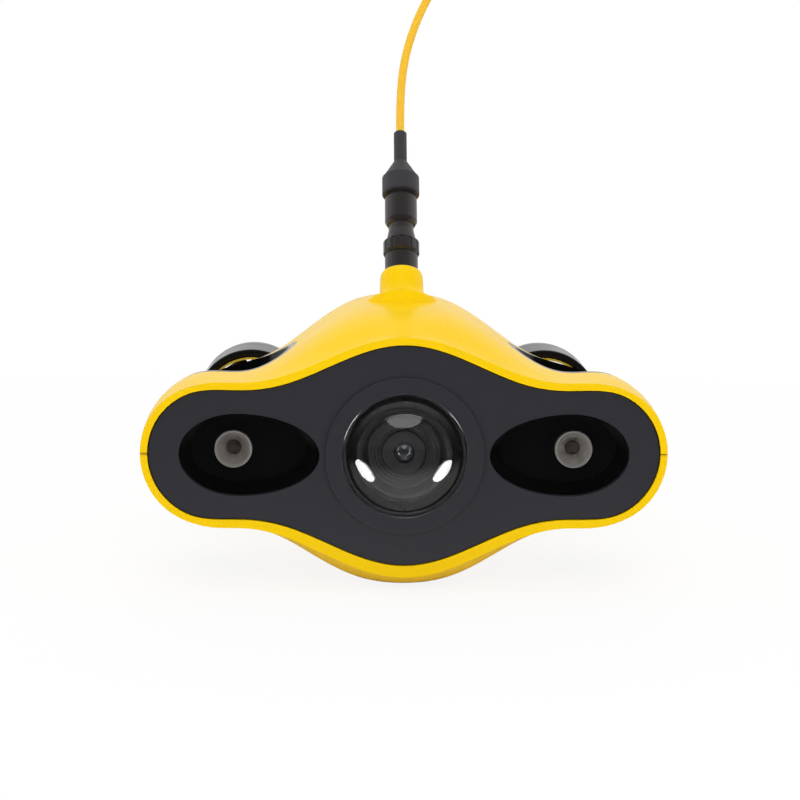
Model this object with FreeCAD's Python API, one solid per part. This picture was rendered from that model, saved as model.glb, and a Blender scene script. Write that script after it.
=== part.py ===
"""Compact five-thruster inspection ROV with a slanted tether connector.

All sizes are millimetres. The bow points to -Y, +X is starboard as seen from
behind and +Z is up. The model is built about its parting plane (z = 0) and is
lifted at export so that the foot pads stand on z = 0.
"""
import FreeCAD
import Part

import math
import os

from FreeCAD import Placement, Rotation, Vector

# ---------------------------------------------------------------- overall
BODY_LENGTH = 247.0
BODY_WIDTH = 188.0
CREST_ROOM = 21.0
KEEL_ROOM = 19.4
WING_HALF_THICKNESS = 26.8
WAIST_ROOM = 5.0
SHELL_WALL = 2.5
SEAM_GAP = 0.3
FIT = 0.15
OUTLINE_STEPS = 10
RUNNING_FIT = 0.05

# ---------------------------------------------------------------- bow face
FACE_INSET = 3.5
FACE_LOBE_RADIUS = 22.8
FACE_CENTRE_HEIGHT = 39.0
FACE_SWEEP_RADIUS = 900.0
FACE_THICKNESS = 3.0
FACE_GAP = 0.4
RIM_PROUD = 0.6
BOW_OVERRUN = 3.0
LIP_DEPTH = 8.5
BELL_SPREAD = 56.0
BODY_SPREAD = 60.0
BODY_FLATNESS = 1.4

# ---------------------------------------------------------------- camera
WINDOW_PROUD = 5.0
WINDOW_RADIUS = 22.0
WINDOW_DOME_EDGE = 2.5
WINDOW_WALL = 2.0
WINDOW_FLANGE_STEP = 2.0
WINDOW_FLANGE = 2.0
PORT_BEZEL_WIDTH = 6.0
PORT_BEZEL_PROUD = 0.7
NOTCH_RING_EDGE = 1.6
NOTCH_RING_DEPTH = 2.4
HOOD_EDGE = 6.0
HOOD_SLOPE = 3.0
HOOD_GAP = 0.2
HOOD_DEPTH = 7.0
LENS_BARREL_RADIUS = 7.5
LENS_BARREL_LENGTH = 9.0
LENS_RADIUS = 3.6

# ---------------------------------------------------------------- lights
LIGHT_EDGE = 31.7
LIGHT_OUTER_REACH = 21.0
LIGHT_NECK_ROOM = 4.5
LIGHT_HALF_HEIGHT = 14.7
LIGHT_CUP_DEPTH = 12.5
LIGHT_CUP_TAPER = 0.84
LIGHT_CUP_WALL = 1.4
LED_OFFSET = 2.2
REFLECTOR_RADIUS = 6.7
REFLECTOR_BOWL_RADIUS = 6.0
REFLECTOR_THROAT_RADIUS = 2.7
REFLECTOR_LENGTH = 6.0
LED_BOARD_RADIUS = 7.4
LED_BOARD_THICKNESS = 1.6
LED_CHIP = 3.4
LED_CHIP_HEIGHT = 0.9

# ---------------------------------------------------------------- pressure hull
HULL_RADIUS = 30.0
HULL_WALL = 2.5
HULL_NECK_EDGE = 1.5
HULL_NECK_STEP = 1.2
HULL_NECK_LENGTH = 8.0
HULL_TAIL_ROOM = 26.0
END_CAP_FLANGE = 6.0
END_CAP_SPIGOT = 9.0
O_RING_SECTION = 0.9
TRAY_DISC = 2.0
TRAY_PLATE = 2.0
BATTERY_CELL_RADIUS = 9.2
BATTERY_LENGTH = 68.0
BOARD_THICKNESS = 1.6
BOARD_LENGTH = 72.0
BOARD_WIDTH = 40.0

# ---------------------------------------------------------------- thrusters
DUCT_BORE = 18.5
LINER_WALL = 2.5
PROP_TIP_GAP = 1.2
PROP_HUB_RADIUS = 6.4
PROP_HUB_LENGTH = 8.0
PROP_PITCH = 30.0
BLADE_COUNT = 3
BLADE_THICKNESS = 1.5
MOTOR_RADIUS = 8.6
BELL_LENGTH = 10.0
BELL_WALL = 1.0
STATOR_RADIUS = 6.8
MOTOR_BASE_LENGTH = 8.0
SHAFT_RADIUS = 1.5
STRUT_COUNT = 3
STRUT_THICKNESS = 2.2
NOZZLE_WALL = 3.9
NOZZLE_LENGTH = 42.0
NOZZLE_INTAKE = 17.0
NOZZLE_LIP = 1.9
TRIM_RING_DEPTH = 2.5
TRIM_RING_WALL = 0.9
NOZZLE_WAIST_GAP = 1.1
NOZZLE_Z = 1.5
NOZZLE_SETBACK = 48.0
PYLON_HALF_HEIGHT = 7.0
PYLON_LENGTH = 24.0
PYLON_HULL_GAP = 0.5
WING_DUCT_EDGE = 34.0
WING_DUCT_SETBACK = 22.5
TAIL_WALL = 10.5

# ---------------------------------------------------------------- connector
BOSS_SETBACK = 58.0
BOSS_LEAN = 34.0
BOSS_RADIUS = 8.0
BOSS_BASE_RADIUS = 10.5
BOSS_RISE = 9.5
BOSS_RIM_ROUND = 1.2
SOCKET_RADIUS = 6.2
SOCKET_STEM = 7.4
COLLAR_RADIUS = 6.8
COLLAR_LENGTH = 6.4
COLLAR_CHAMFER = 0.9
COLLAR_TRAVEL = 60.0
PLUG_NECK_RADIUS = 4.6
PLUG_NECK_LENGTH = 6.8
PLUG_BODY_RADIUS = 6.1
PLUG_BODY_LENGTH = 11.4
PLUG_WAIST_RADIUS = 5.0
PLUG_WAIST_LENGTH = 1.6
BOOT_RADIUS = 7.1
BOOT_LENGTH = 8.0
BOOT_CONE_LENGTH = 7.0
BOOT_NECK_RADIUS = 2.5
BOOT_NECK_LENGTH = 13.3

# ---------------------------------------------------------------- tether
TETHER_DIAMETER = 3.2
TETHER_BEND_LIMIT = 5.0 * TETHER_DIAMETER
FAR_PLUG_RADIUS = 6.1
FAR_PLUG_LENGTH = 20.0
FAR_PLUG_PIN_RADIUS = 4.2
FAR_PLUG_PIN_LENGTH = 8.0
FAR_BOOT_LENGTH = 14.0
FAR_BOOT_RADIUS = 2.5

# ---------------------------------------------------------------- small parts
SCREW_RADIUS = 1.5
SCREW_HEAD_RADIUS = 2.8
SCREW_HEAD_HEIGHT = 2.0
BOSS_POST_RADIUS = 3.4
SCREW_LENGTH = 14.0
SCREW_SEAT_Z = -9.0
PAD_WIDTH = 6.0
PAD_LENGTH = 40.0
PAD_X = 8.0
PAD_PROUD = 1.0
PAD_SEAT = 1.2
BALLAST_WIDTH = 22.0
BALLAST_LENGTH = 52.0
BALLAST_THICKNESS = 5.0
RIB_THICKNESS = 3.0

# ---------------------------------------------------------------- derived places
FACE_Y = -BODY_LENGTH / 2 + WINDOW_PROUD
TAIL_Y = BODY_LENGTH / 2
HALF_WIDTH = BODY_WIDTH / 2
CREST_HEIGHT = HULL_RADIUS + CREST_ROOM
KEEL_DEPTH = HULL_RADIUS + KEEL_ROOM
WAIST_HALF_WIDTH = HULL_RADIUS + WAIST_ROOM
LINER_RADIUS = DUCT_BORE + LINER_WALL
PROP_RADIUS = DUCT_BORE - PROP_TIP_GAP
NOZZLE_RADIUS = DUCT_BORE + NOZZLE_WALL
TAIL_RADIUS = LINER_RADIUS + TAIL_WALL
TAIL_DUCT_Y = TAIL_Y - TAIL_RADIUS
HULL_END_Y = TAIL_DUCT_Y - LINER_RADIUS - HULL_TAIL_ROOM
WING_DUCT_X = HALF_WIDTH - WING_DUCT_EDGE
WING_DUCT_Y = FACE_Y + LINER_RADIUS + WING_DUCT_SETBACK
NOZZLE_X = WAIST_HALF_WIDTH + NOZZLE_RADIUS + NOZZLE_WAIST_GAP
NOZZLE_FRONT_Y = WING_DUCT_Y + LINER_RADIUS + NOZZLE_SETBACK
NOZZLE_PROP_Y = NOZZLE_FRONT_Y + NOZZLE_INTAKE
KEEL_CUT = KEEL_DEPTH - 0.8
REST_DEPTH = KEEL_CUT + PAD_PROUD
HULL_FRONT_Y = FACE_Y + FACE_THICKNESS + WINDOW_FLANGE
FACE_HALF_WIDTH = HALF_WIDTH - FACE_INSET
WINDOW_DOME_RADIUS = WINDOW_RADIUS - WINDOW_DOME_EDGE
WINDOW_FLANGE_RADIUS = WINDOW_RADIUS + WINDOW_FLANGE_STEP
PORT_BEZEL_RADIUS = WINDOW_RADIUS + PORT_BEZEL_WIDTH
HOOD_RADIUS = WINDOW_RADIUS - HOOD_EDGE
HOOD_FLOOR_RADIUS = HOOD_RADIUS - HOOD_SLOPE
NOTCH_RING_OUTER = WINDOW_RADIUS - NOTCH_RING_EDGE
NOTCH_RING_INNER = HOOD_RADIUS + HOOD_GAP
HULL_NECK_RADIUS = WINDOW_FLANGE_RADIUS + HULL_NECK_EDGE
HULL_NECK_BORE = WINDOW_RADIUS - HULL_NECK_STEP
LIGHT_X = FACE_HALF_WIDTH - LIGHT_EDGE
LIGHT_INNER_REACH = LIGHT_X - max(HULL_RADIUS, HULL_NECK_RADIUS + LIGHT_NECK_ROOM)
LED_X = LIGHT_X + LED_OFFSET
X_AXIS = Vector(1, 0, 0)
Y_AXIS = Vector(0, 1, 0)
Z_AXIS = Vector(0, 0, 1)
BOSS_AXIS = Vector(0, math.sin(math.radians(BOSS_LEAN)), math.cos(math.radians(BOSS_LEAN)))


class Station:
    """One cross-section of the body: its place and the heights of its outline."""

    def __init__(self, y, half_width, wing_up, crest, wing_down, keel, flatness, spread):
        self.y = y
        self.half_width = half_width
        self.wing = {1: wing_up, -1: wing_down}
        self.centre = {1: crest, -1: keel}
        self.flatness = flatness
        self.spread = spread


def body_stations():
    """Cross-sections from the bow rim to the tail."""
    rim = FACE_GAP + SHELL_WALL
    face = Station(
        FACE_Y - BOW_OVERRUN,
        FACE_HALF_WIDTH + rim,
        FACE_LOBE_RADIUS + rim,
        FACE_CENTRE_HEIGHT + rim,
        FACE_LOBE_RADIUS + rim,
        FACE_CENTRE_HEIGHT + rim,
        1.0,
        BELL_SPREAD,
    )
    wing, crest, keel = WING_HALF_THICKNESS, CREST_HEIGHT, KEEL_DEPTH
    waist = WAIST_HALF_WIDTH
    rows = [
        (FACE_Y + 10, HALF_WIDTH - 0.2, wing - 0.6, crest - 6.0, wing, keel - 1.6, 1.2),
        (FACE_Y + 22, HALF_WIDTH, wing, crest - 2.8, wing + 0.8, keel, BODY_FLATNESS),
        (WING_DUCT_Y, HALF_WIDTH - 3.5, wing - 0.2, crest - 0.5, wing + 0.7, keel, BODY_FLATNESS),
        (WING_DUCT_Y + 16, HALF_WIDTH - 12, wing - 0.8, crest, wing, keel, BODY_FLATNESS),
        (WING_DUCT_Y + 28, HALF_WIDTH - 24, wing - 1.6, crest - 0.5, wing - 0.8, keel, BODY_FLATNESS),
        (WING_DUCT_Y + 40, HALF_WIDTH - 39, wing - 2.4, crest - 1.4, wing - 1.6, keel, BODY_FLATNESS),
        (WING_DUCT_Y + 54, waist + 7.5, wing - 3.0, crest - 2.8, wing - 2.4, keel, BODY_FLATNESS),
        (WING_DUCT_Y + 70, waist + 0.8, wing - 3.4, crest - 5.0, wing - 2.8, keel, BODY_FLATNESS),
        (NOZZLE_PROP_Y + 16, waist - 0.3, wing - 3.8, crest - 9.5, wing - 3.0, keel - 0.6, BODY_FLATNESS),
        (HULL_END_Y + 12, waist - 1.4, wing - 4.2, crest - 15.0, wing - 3.6, keel - 5.0, BODY_FLATNESS),
        (TAIL_DUCT_Y - 16, TAIL_RADIUS + 0.6, wing - 4.8, crest - 19.6, wing - 4.4, keel - 13.0, 1.2),
        (TAIL_DUCT_Y, TAIL_RADIUS, wing - 5.0, crest - 22.6, wing - 4.8, keel - 19.0, 1.0),
    ]
    return [face] + [Station(*row, BODY_SPREAD) for row in rows]


def outline_height(station, side, x):
    """Height of a half outline at x: wing, central swell and rounded wing tip."""
    reach = min(abs(x) / station.spread, 1.0)
    bell = 0.5 * (1.0 + math.cos(math.pi * reach))
    lift = 1.0 - (1.0 - bell) ** station.flatness
    wing = station.wing[side]
    height = wing + (station.centre[side] - wing) * lift
    into_tip = max(abs(x) - (station.half_width - wing), 0.0) / wing
    return height * math.sqrt(max(1.0 - into_tip**2, 0.0))


def outline_points(station, side, inset=0.0):
    """Points of half an outline from one wing tip over the centre to the other."""
    points = []
    for i in range(-OUTLINE_STEPS, OUTLINE_STEPS + 1):
        x = station.half_width * math.sin(math.pi / 2 * i / OUTLINE_STEPS)
        points.append((x, outline_height(station, side, x)))
    return inset_points(points, inset, side, station.y)


def inset_points(points, inset, side, y):
    """Move the points of a half outline inwards along its normals."""
    moved = []
    last = len(points) - 1
    for i, (x, z) in enumerate(points):
        if i in (0, last):
            moved.append(Vector(x - math.copysign(inset, x), y, 0.0))
            continue
        dx = points[i + 1][0] - points[i - 1][0]
        dz = points[i + 1][1] - points[i - 1][1]
        size = math.hypot(dx, dz)
        moved.append(Vector(x + dz / size * inset, y, side * (z - dx / size * inset)))
    return moved


def half_outline_curve(station, side, inset=0.0):
    """Smooth curve through a half outline."""
    points = outline_points(station, side, inset)
    curve = Part.BSplineCurve()
    curve.interpolate(Points=points, Parameters=[float(i) for i in range(len(points))])
    return curve


def half_outline_wire(station, side, inset=0.0):
    """Closed wire of the half outline and its chord on the parting plane."""
    curve = half_outline_curve(station, side, inset)
    chord = Part.LineSegment(curve.EndPoint, curve.StartPoint)
    return Part.Wire([curve.toShape(), chord.toShape()])


def tail_end(side, inset=0.0):
    """Round end of the tail: the last section turned about the duct axis."""
    last = body_stations()[-1]
    curve = half_outline_curve(last, side, inset)
    arc = curve.toShape(float(OUTLINE_STEPS), float(2 * OUTLINE_STEPS))
    crown = curve.value(float(OUTLINE_STEPS))
    foot = Vector(0, last.y, 0)
    chord = Part.makeLine(curve.EndPoint, foot)
    stem = Part.makeLine(foot, crown)
    face = Part.Face(Part.Wire([arc, chord, stem]))
    return face.revolve(foot, Z_AXIS, 180)


def half_body(side, inset=0.0):
    """Solid of the upper (1) or lower (-1) half of the body form."""
    wires = [half_outline_wire(station, side, inset) for station in body_stations()]
    loft = Part.makeLoft(wires, True, False)
    return loft.fuse(tail_end(side, inset))


def cylinder(radius, length, base, axis=Z_AXIS):
    """Round bar from its base point along its axis."""
    return Part.makeCylinder(radius, length, base, axis)


def ring(outer, inner, length, base, axis=Z_AXIS):
    """Round tube from its base point along its axis."""
    return cylinder(outer, length, base, axis).cut(cylinder(inner, length, base, axis))


def box(low, high):
    """Box between two corners."""
    size = [h - l for l, h in zip(low, high)]
    return Part.makeBox(*size, Vector(*low))


def revolved(profile, base, axis):
    """Turn a closed (radius, height) profile about an axis through a base point."""
    points = [Vector(r, 0, h) for r, h in profile]
    wire = Part.makePolygon(points + [points[0]])
    solid = Part.Face(wire).revolve(Vector(0, 0, 0), Z_AXIS, 360)
    solid.Placement = Placement(base, Rotation(Z_AXIS, axis))
    return solid


def mirrored(shape):
    """Copy of a shape on the other side of the centre plane."""
    return shape.mirror(Vector(0, 0, 0), X_AXIS)


# ---------------------------------------------------------------- body shells
def face_drum(proud=0.0):
    """Big upright drum whose bow side is the swept front surface."""
    radius = FACE_SWEEP_RADIUS
    return cylinder(radius + proud, BODY_WIDTH, Vector(0, FACE_Y + radius, -HALF_WIDTH))


def outer_half(side):
    """Outer form of one shell, trimmed at the bow, the tail and the keel."""
    solid = half_body(side).common(face_drum(RIM_PROUD))
    if side < 0:
        floor = box((-HALF_WIDTH, FACE_Y - 9, -KEEL_DEPTH * 2), (HALF_WIDTH, TAIL_Y, -KEEL_CUT))
        solid = solid.cut(floor)
    return solid


def cavity_half(side):
    """Space inside one shell behind the bow lip."""
    return half_body(side, SHELL_WALL).common(face_drum(-LIP_DEPTH))


def bow_mouth():
    """Opening in the bow lip, with an even gap round the face plate."""
    return face_outline_prism(FACE_Y - BOW_OVERRUN, LIP_DEPTH * 2, -FACE_GAP)


def screw_places():
    """Shell screws: wing tips, behind the wing ducts and before the tail duct."""
    places = []
    for sign in (-1, 1):
        places.append((sign * (HALF_WIDTH - 9.0), FACE_Y + 17.5))
        places.append((sign * (HULL_RADIUS + 14.5), WING_DUCT_Y + 30.5))
        places.append((sign * (TAIL_RADIUS - 7.5), TAIL_DUCT_Y - 30.0))
    return places


def pylon_block(clearance=0.0):
    """Starboard pylon between nozzle and waist, with its heel inside the shell."""
    low_y = NOZZLE_FRONT_Y + 7.0
    inner = HULL_RADIUS + PYLON_HULL_GAP
    low = (inner, low_y - clearance, -PYLON_HALF_HEIGHT - clearance)
    high = (NOZZLE_X - DUCT_BORE - 1.5, low_y + PYLON_LENGTH + clearance, PYLON_HALF_HEIGHT + clearance)
    return box(low, high)


def ducts(clearance):
    """The three upright ducts as solid bars."""
    span = 2 * HALF_WIDTH
    bars = []
    for x, y in ((-WING_DUCT_X, WING_DUCT_Y), (WING_DUCT_X, WING_DUCT_Y), (0, TAIL_DUCT_Y)):
        bars.append(cylinder(LINER_RADIUS + clearance, span, Vector(x, y, -span / 2)))
    return bars


def shell(side, outer, cavity):
    """One body shell with its holes, ribs and screw posts."""
    span = HALF_WIDTH
    solid = outer.cut(cavity).cut(bow_mouth())
    ribs = []
    for y in (WING_DUCT_Y + 30.5, HULL_END_Y - 18.0):
        reach, half = HULL_RADIUS + 3, RIB_THICKNESS / 2
        slab = box((-reach, y - half, -span), (reach, y + half, span))
        ribs.append(slab.common(cavity))
    posts = []
    for x, y in screw_places():
        post = cylinder(BOSS_POST_RADIUS, span, Vector(x, y, 0), Vector(0, 0, side))
        posts.append(post.common(cavity))
    solid = solid.fuse(ribs + posts)
    cuts = ducts(FIT)
    bay_length = HULL_END_Y - HULL_FRONT_Y + END_CAP_FLANGE
    cuts.append(cylinder(HULL_RADIUS + FIT, bay_length, Vector(0, HULL_FRONT_Y, 0), Y_AXIS))
    cuts.append(pylon_block(FIT))
    cuts.append(mirrored(pylon_block(FIT)))
    seam = box((-2 * span, FACE_Y - 9, -SEAM_GAP / 2), (2 * span, TAIL_Y + 9, SEAM_GAP / 2))
    cuts.append(seam)
    return solid.cut(cuts)


def boss_base():
    """Centre of the connector boss where its axis leaves the crest."""
    return Vector(0, FACE_Y + BOSS_SETBACK, CREST_HEIGHT)


def on_boss_axis(distance):
    """Point on the connector axis, measured from the rim of the boss."""
    return boss_base() + BOSS_AXIS * (BOSS_RISE + distance)


def boss_solid():
    """Slanted boss on the crest that carries the tether socket."""
    mouth = BOSS_RADIUS - BOSS_RIM_ROUND
    side = [
        (mouth, 0.0),
        (BOSS_RADIUS - 0.45, -0.6),
        (BOSS_RADIUS, -2.2),
        (BOSS_RADIUS + 0.15, -5.0),
        (BOSS_RADIUS + 0.2, -8.0),
        (BOSS_RADIUS + 0.8, -10.6),
        (BOSS_BASE_RADIUS, -12.8),
        (BOSS_BASE_RADIUS + 3.5, -14.6),
    ]
    curve = Part.BSplineCurve()
    curve.interpolate([Vector(r, 0, h) for r, h in side])
    foot = -BOSS_RISE - 12.0
    corners = [side[-1], (BOSS_BASE_RADIUS + 3.5, foot), (0.0, foot), (0.0, 0.0), side[0]]
    edges = [curve.toShape()]
    for (r1, h1), (r2, h2) in zip(corners, corners[1:]):
        edges.append(Part.makeLine(Vector(r1, 0, h1), Vector(r2, 0, h2)))
    solid = Part.Face(Part.Wire(edges)).revolve(Vector(0, 0, 0), Z_AXIS, 360)
    solid.Placement = Placement(on_boss_axis(0.0), Rotation(Z_AXIS, BOSS_AXIS))
    return solid


def upper_shell():
    """Upper shell with the connector boss."""
    outer = outer_half(1)
    cavity = cavity_half(1)
    solid = shell(1, outer, cavity)
    boss = boss_solid().cut(cavity)
    solid = solid.fuse(boss)
    bore = cylinder(SOCKET_RADIUS + FIT, BOSS_RISE + 30, on_boss_axis(-BOSS_RISE - 12), BOSS_AXIS)
    solid = solid.cut(bore)
    for x, y in screw_places():
        pilot = cylinder(SCREW_RADIUS - 0.1, SCREW_LENGTH, Vector(x, y, -1))
        solid = solid.cut(pilot)
    return solid


def lower_shell():
    """Lower shell with pad recesses, ballast seat and screw wells."""
    outer = outer_half(-1)
    cavity = cavity_half(-1)
    solid = shell(-1, outer, cavity)
    cuts = []
    for x, y in screw_places():
        cuts.append(cylinder(SCREW_RADIUS + FIT, HALF_WIDTH, Vector(x, y, -HALF_WIDTH)))
        well = Vector(x, y, SCREW_SEAT_Z - HALF_WIDTH)
        cuts.append(cylinder(SCREW_HEAD_RADIUS + FIT, HALF_WIDTH, well))
    for low, high in pad_boxes(FIT):
        cuts.append(box(low, high))
    for low, high in ballast_boxes(FIT):
        cuts.append(box(low, high))
    return solid.cut(cuts)


def pad_boxes(clearance=0.0):
    """Corners of the four foot pads."""
    corners = []
    for y in (FACE_Y + 30.0, NOZZLE_FRONT_Y + 4.0):
        for sign in (-1, 1):
            x = sign * PAD_X
            low = (x - PAD_WIDTH / 2 - clearance, y - clearance, -REST_DEPTH)
            high = (x + PAD_WIDTH / 2 + clearance, y + PAD_LENGTH + clearance, -KEEL_CUT + PAD_SEAT)
            corners.append((low, high))
    return corners


def ballast_boxes(clearance=0.0):
    """Corners of the two ballast bars on the keel."""
    top = -KEEL_DEPTH + SHELL_WALL + 0.5 + BALLAST_THICKNESS
    corners = []
    for y in (FACE_Y + 22.0, NOZZLE_FRONT_Y - 24.0):
        low = (-BALLAST_WIDTH / 2 - clearance, y - clearance, top - BALLAST_THICKNESS - clearance)
        high = (BALLAST_WIDTH / 2 + clearance, y + BALLAST_LENGTH + clearance, top + clearance)
        corners.append((low, high))
    return corners


# ---------------------------------------------------------------- bow face
def light_outline(y, scale=1.0, grow=0.0):
    """Egg-shaped outline of a light recess on the starboard side."""
    half = LIGHT_HALF_HEIGHT * scale + grow
    edges = []
    for reach, sign in ((LIGHT_OUTER_REACH, 1), (LIGHT_INNER_REACH, -1)):
        major = reach * scale + grow
        centre = Vector(LIGHT_X, y, 0)
        tip = centre + Vector(sign * major, 0, 0)
        top = centre + Vector(0, 0, half)
        if major >= half:
            oval = Part.Ellipse(tip, top, centre)
        else:
            oval = Part.Ellipse(top, tip, centre)
        start = oval.parameter(centre + Vector(0, 0, half))
        mid = oval.parameter(tip)
        end = oval.parameter(centre - Vector(0, 0, half))
        edges.append(half_oval(oval, start, mid, end))
    return Part.Wire(Part.__sortEdges__(edges))


def half_oval(oval, start, mid, end):
    """The half of an ellipse between two parameters that holds a third."""
    turn = 2 * math.pi
    span = (end - start) % turn
    inside = (mid - start) % turn
    if inside < span:
        return Part.ArcOfEllipse(oval, start, start + span).toShape()
    return Part.ArcOfEllipse(oval, end, end + turn - span).toShape()


def light_prism(front, length, grow=0.0):
    """Straight bar with the outline of the light recess."""
    return Part.Face(light_outline(front, 1.0, grow)).extrude(Vector(0, length, 0))


def face_outline_prism(front, length, inset=0.0):
    """Straight bar with the lobed outline of the face plate."""
    rim = body_stations()[0]
    upper = half_outline_curve(rim, 1, FACE_GAP + SHELL_WALL + inset)
    lower = half_outline_curve(rim, -1, FACE_GAP + SHELL_WALL + inset)
    wire = Part.Wire(Part.__sortEdges__([upper.toShape(), lower.toShape()]))
    face = Part.Face(wire)
    face.translate(Vector(0, front - rim.y, 0))
    return face.extrude(Vector(0, length, 0))


def face_plate():
    """Swept face plate with its skirt, port bezel and light openings."""
    depth = FACE_THICKNESS + 4.0
    plate = face_outline_prism(FACE_Y - 2, depth + 12).common(face_drum())
    hollow = face_outline_prism(FACE_Y - 2, depth + 14, 2.0).common(face_drum(-FACE_THICKNESS))
    plate = plate.cut(hollow)
    plate = plate.common(face_drum().cut(face_drum(-depth)))
    front = Vector(0, FACE_Y - PORT_BEZEL_PROUD, 0)
    bezel = ring(PORT_BEZEL_RADIUS, WINDOW_RADIUS, FACE_THICKNESS, front, Y_AXIS)
    outer_edge = [e for e in bezel.Edges if abs(e.CenterOfMass.y - FACE_Y + PORT_BEZEL_PROUD) < 0.01]
    bezel = bezel.makeFillet(PORT_BEZEL_PROUD * 0.7, outer_edge)
    plate = plate.fuse(bezel)
    port = cylinder(WINDOW_RADIUS + FIT, 30, Vector(0, FACE_Y - 10, 0), Y_AXIS)
    seat = cylinder(WINDOW_FLANGE_RADIUS + FIT, 30, Vector(0, FACE_Y + FACE_THICKNESS, 0), Y_AXIS)
    light = light_prism(FACE_Y - 10, 40)
    return plate.cut([port, seat, light, mirrored(light)])


def light_cup():
    """Starboard light recess: a tapered egg-shaped cup behind the face plate."""
    front = FACE_Y + FACE_THICKNESS + 0.35 + light_setback()
    back = front + LIGHT_CUP_DEPTH
    wall = LIGHT_CUP_WALL
    outer = Part.makeLoft([light_outline(front, 1, wall), light_outline(back, LIGHT_CUP_TAPER, wall)], True, True)
    inner = Part.makeLoft(
        [light_outline(front - 0.01, 1), light_outline(back - wall, LIGHT_CUP_TAPER)], True, True
    )
    cup = outer.cut(inner)
    hole = cylinder(REFLECTOR_RADIUS + FIT, 20, Vector(LED_X, back - 10, 0), Y_AXIS)
    return cup.cut(hole)


def light_setback():
    """How far the swept face lies behind its crown at the outer end of a light."""
    reach = LIGHT_X + LIGHT_OUTER_REACH
    return FACE_SWEEP_RADIUS - math.sqrt(FACE_SWEEP_RADIUS**2 - reach**2)


def cup_back_y():
    """Back face of the light cups."""
    return FACE_Y + FACE_THICKNESS + 0.35 + light_setback() + LIGHT_CUP_DEPTH


def reflector():
    """Starboard reflector: a bowl through the floor of its cup, with a flange."""
    back = cup_back_y()
    length = REFLECTOR_LENGTH
    profile = [
        (REFLECTOR_THROAT_RADIUS, 0.0),
        (REFLECTOR_RADIUS + 1.5, 0.0),
        (REFLECTOR_RADIUS + 1.5, 1.2),
        (REFLECTOR_RADIUS, 1.2),
        (REFLECTOR_RADIUS, length),
        (REFLECTOR_BOWL_RADIUS, length),
        (REFLECTOR_THROAT_RADIUS, 1.0),
    ]
    return revolved(profile, Vector(LED_X, back + 1.2 + FIT, 0), -Y_AXIS)


def led_board():
    """Starboard LED board with its chip in the throat of the reflector."""
    front = cup_back_y() + 1.2 + 2 * FIT
    board = cylinder(LED_BOARD_RADIUS, LED_BOARD_THICKNESS, Vector(LED_X, front, 0), Y_AXIS)
    half = LED_CHIP / 2
    chip = box((LED_X - half, front - LED_CHIP_HEIGHT, -half), (LED_X + half, front + 0.5, half))
    return board.fuse(chip)


def led_lens():
    """Starboard clear disc in the mouth of the reflector."""
    front = cup_back_y() + 1.2 + FIT - REFLECTOR_LENGTH
    return cylinder(REFLECTOR_BOWL_RADIUS - 0.8, 0.8, Vector(LED_X, front + 0.1, 0), Y_AXIS)


# ---------------------------------------------------------------- camera
def camera_window():
    """Clear port: a shallow dome on a stepped flange."""
    flange_back = FACE_THICKNESS + WINDOW_FLANGE
    rise = WINDOW_PROUD
    radius = (WINDOW_DOME_RADIUS**2 + rise**2) / (2 * rise)
    centre = Vector(0, FACE_Y - rise + radius, 0)
    dome = Part.makeSphere(radius, centre)
    dome = dome.common(box((-30, FACE_Y - rise - 1, -30), (30, FACE_Y, 30)))
    barrel = cylinder(WINDOW_RADIUS, FACE_THICKNESS, Vector(0, FACE_Y, 0), Y_AXIS)
    flange = cylinder(WINDOW_FLANGE_RADIUS, WINDOW_FLANGE - FIT, Vector(0, FACE_Y + FACE_THICKNESS + FIT / 2, 0), Y_AXIS)
    stem = cylinder(WINDOW_RADIUS, flange_back - 0.5, Vector(0, FACE_Y, 0), Y_AXIS)
    hollow = Part.makeSphere(radius - WINDOW_WALL, centre)
    hollow = hollow.common(box((-30, FACE_Y - rise, -30), (30, FACE_Y + 0.01, 30)))
    bore = cylinder(math.sqrt((radius - WINDOW_WALL) ** 2 - (radius - rise) ** 2), 20, Vector(0, FACE_Y, 0), Y_AXIS)
    return dome.fuse([barrel, flange, stem]).cut([hollow, bore])


def notch_ring():
    """Ring behind the window with four pointed notches in its rim."""
    front = HULL_FRONT_Y + 0.2
    solid = ring(NOTCH_RING_OUTER, NOTCH_RING_INNER, NOTCH_RING_DEPTH, Vector(0, front, 0), Y_AXIS)
    for quarter in range(4):
        tip = NOTCH_RING_OUTER - 2.6
        half = 2.6
        outside = NOTCH_RING_OUTER + 1
        points = [Vector(tip, 0, 0), Vector(outside, 0, half), Vector(outside, 0, -half), Vector(tip, 0, 0)]
        wedge = Part.Face(Part.makePolygon(points)).extrude(Vector(0, NOTCH_RING_DEPTH + 2, 0))
        wedge.rotate(Vector(0, 0, 0), Y_AXIS, 90 * quarter)
        wedge.translate(Vector(0, front - 1, 0))
        solid = solid.cut(wedge)
    return solid


def camera_hood():
    """Dark funnel between the notched ring and the lens."""
    front = HULL_FRONT_Y + 0.2
    profile = [
        (HOOD_RADIUS, 0.0),
        (HOOD_RADIUS, HOOD_DEPTH),
        (LENS_BARREL_RADIUS + FIT, HOOD_DEPTH),
        (LENS_BARREL_RADIUS + FIT, HOOD_DEPTH - 1.5),
        (HOOD_FLOOR_RADIUS, HOOD_DEPTH - 1.5),
        (HOOD_RADIUS - 1.2, 0.0),
    ]
    return revolved(profile, Vector(0, front, 0), Y_AXIS)


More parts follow.
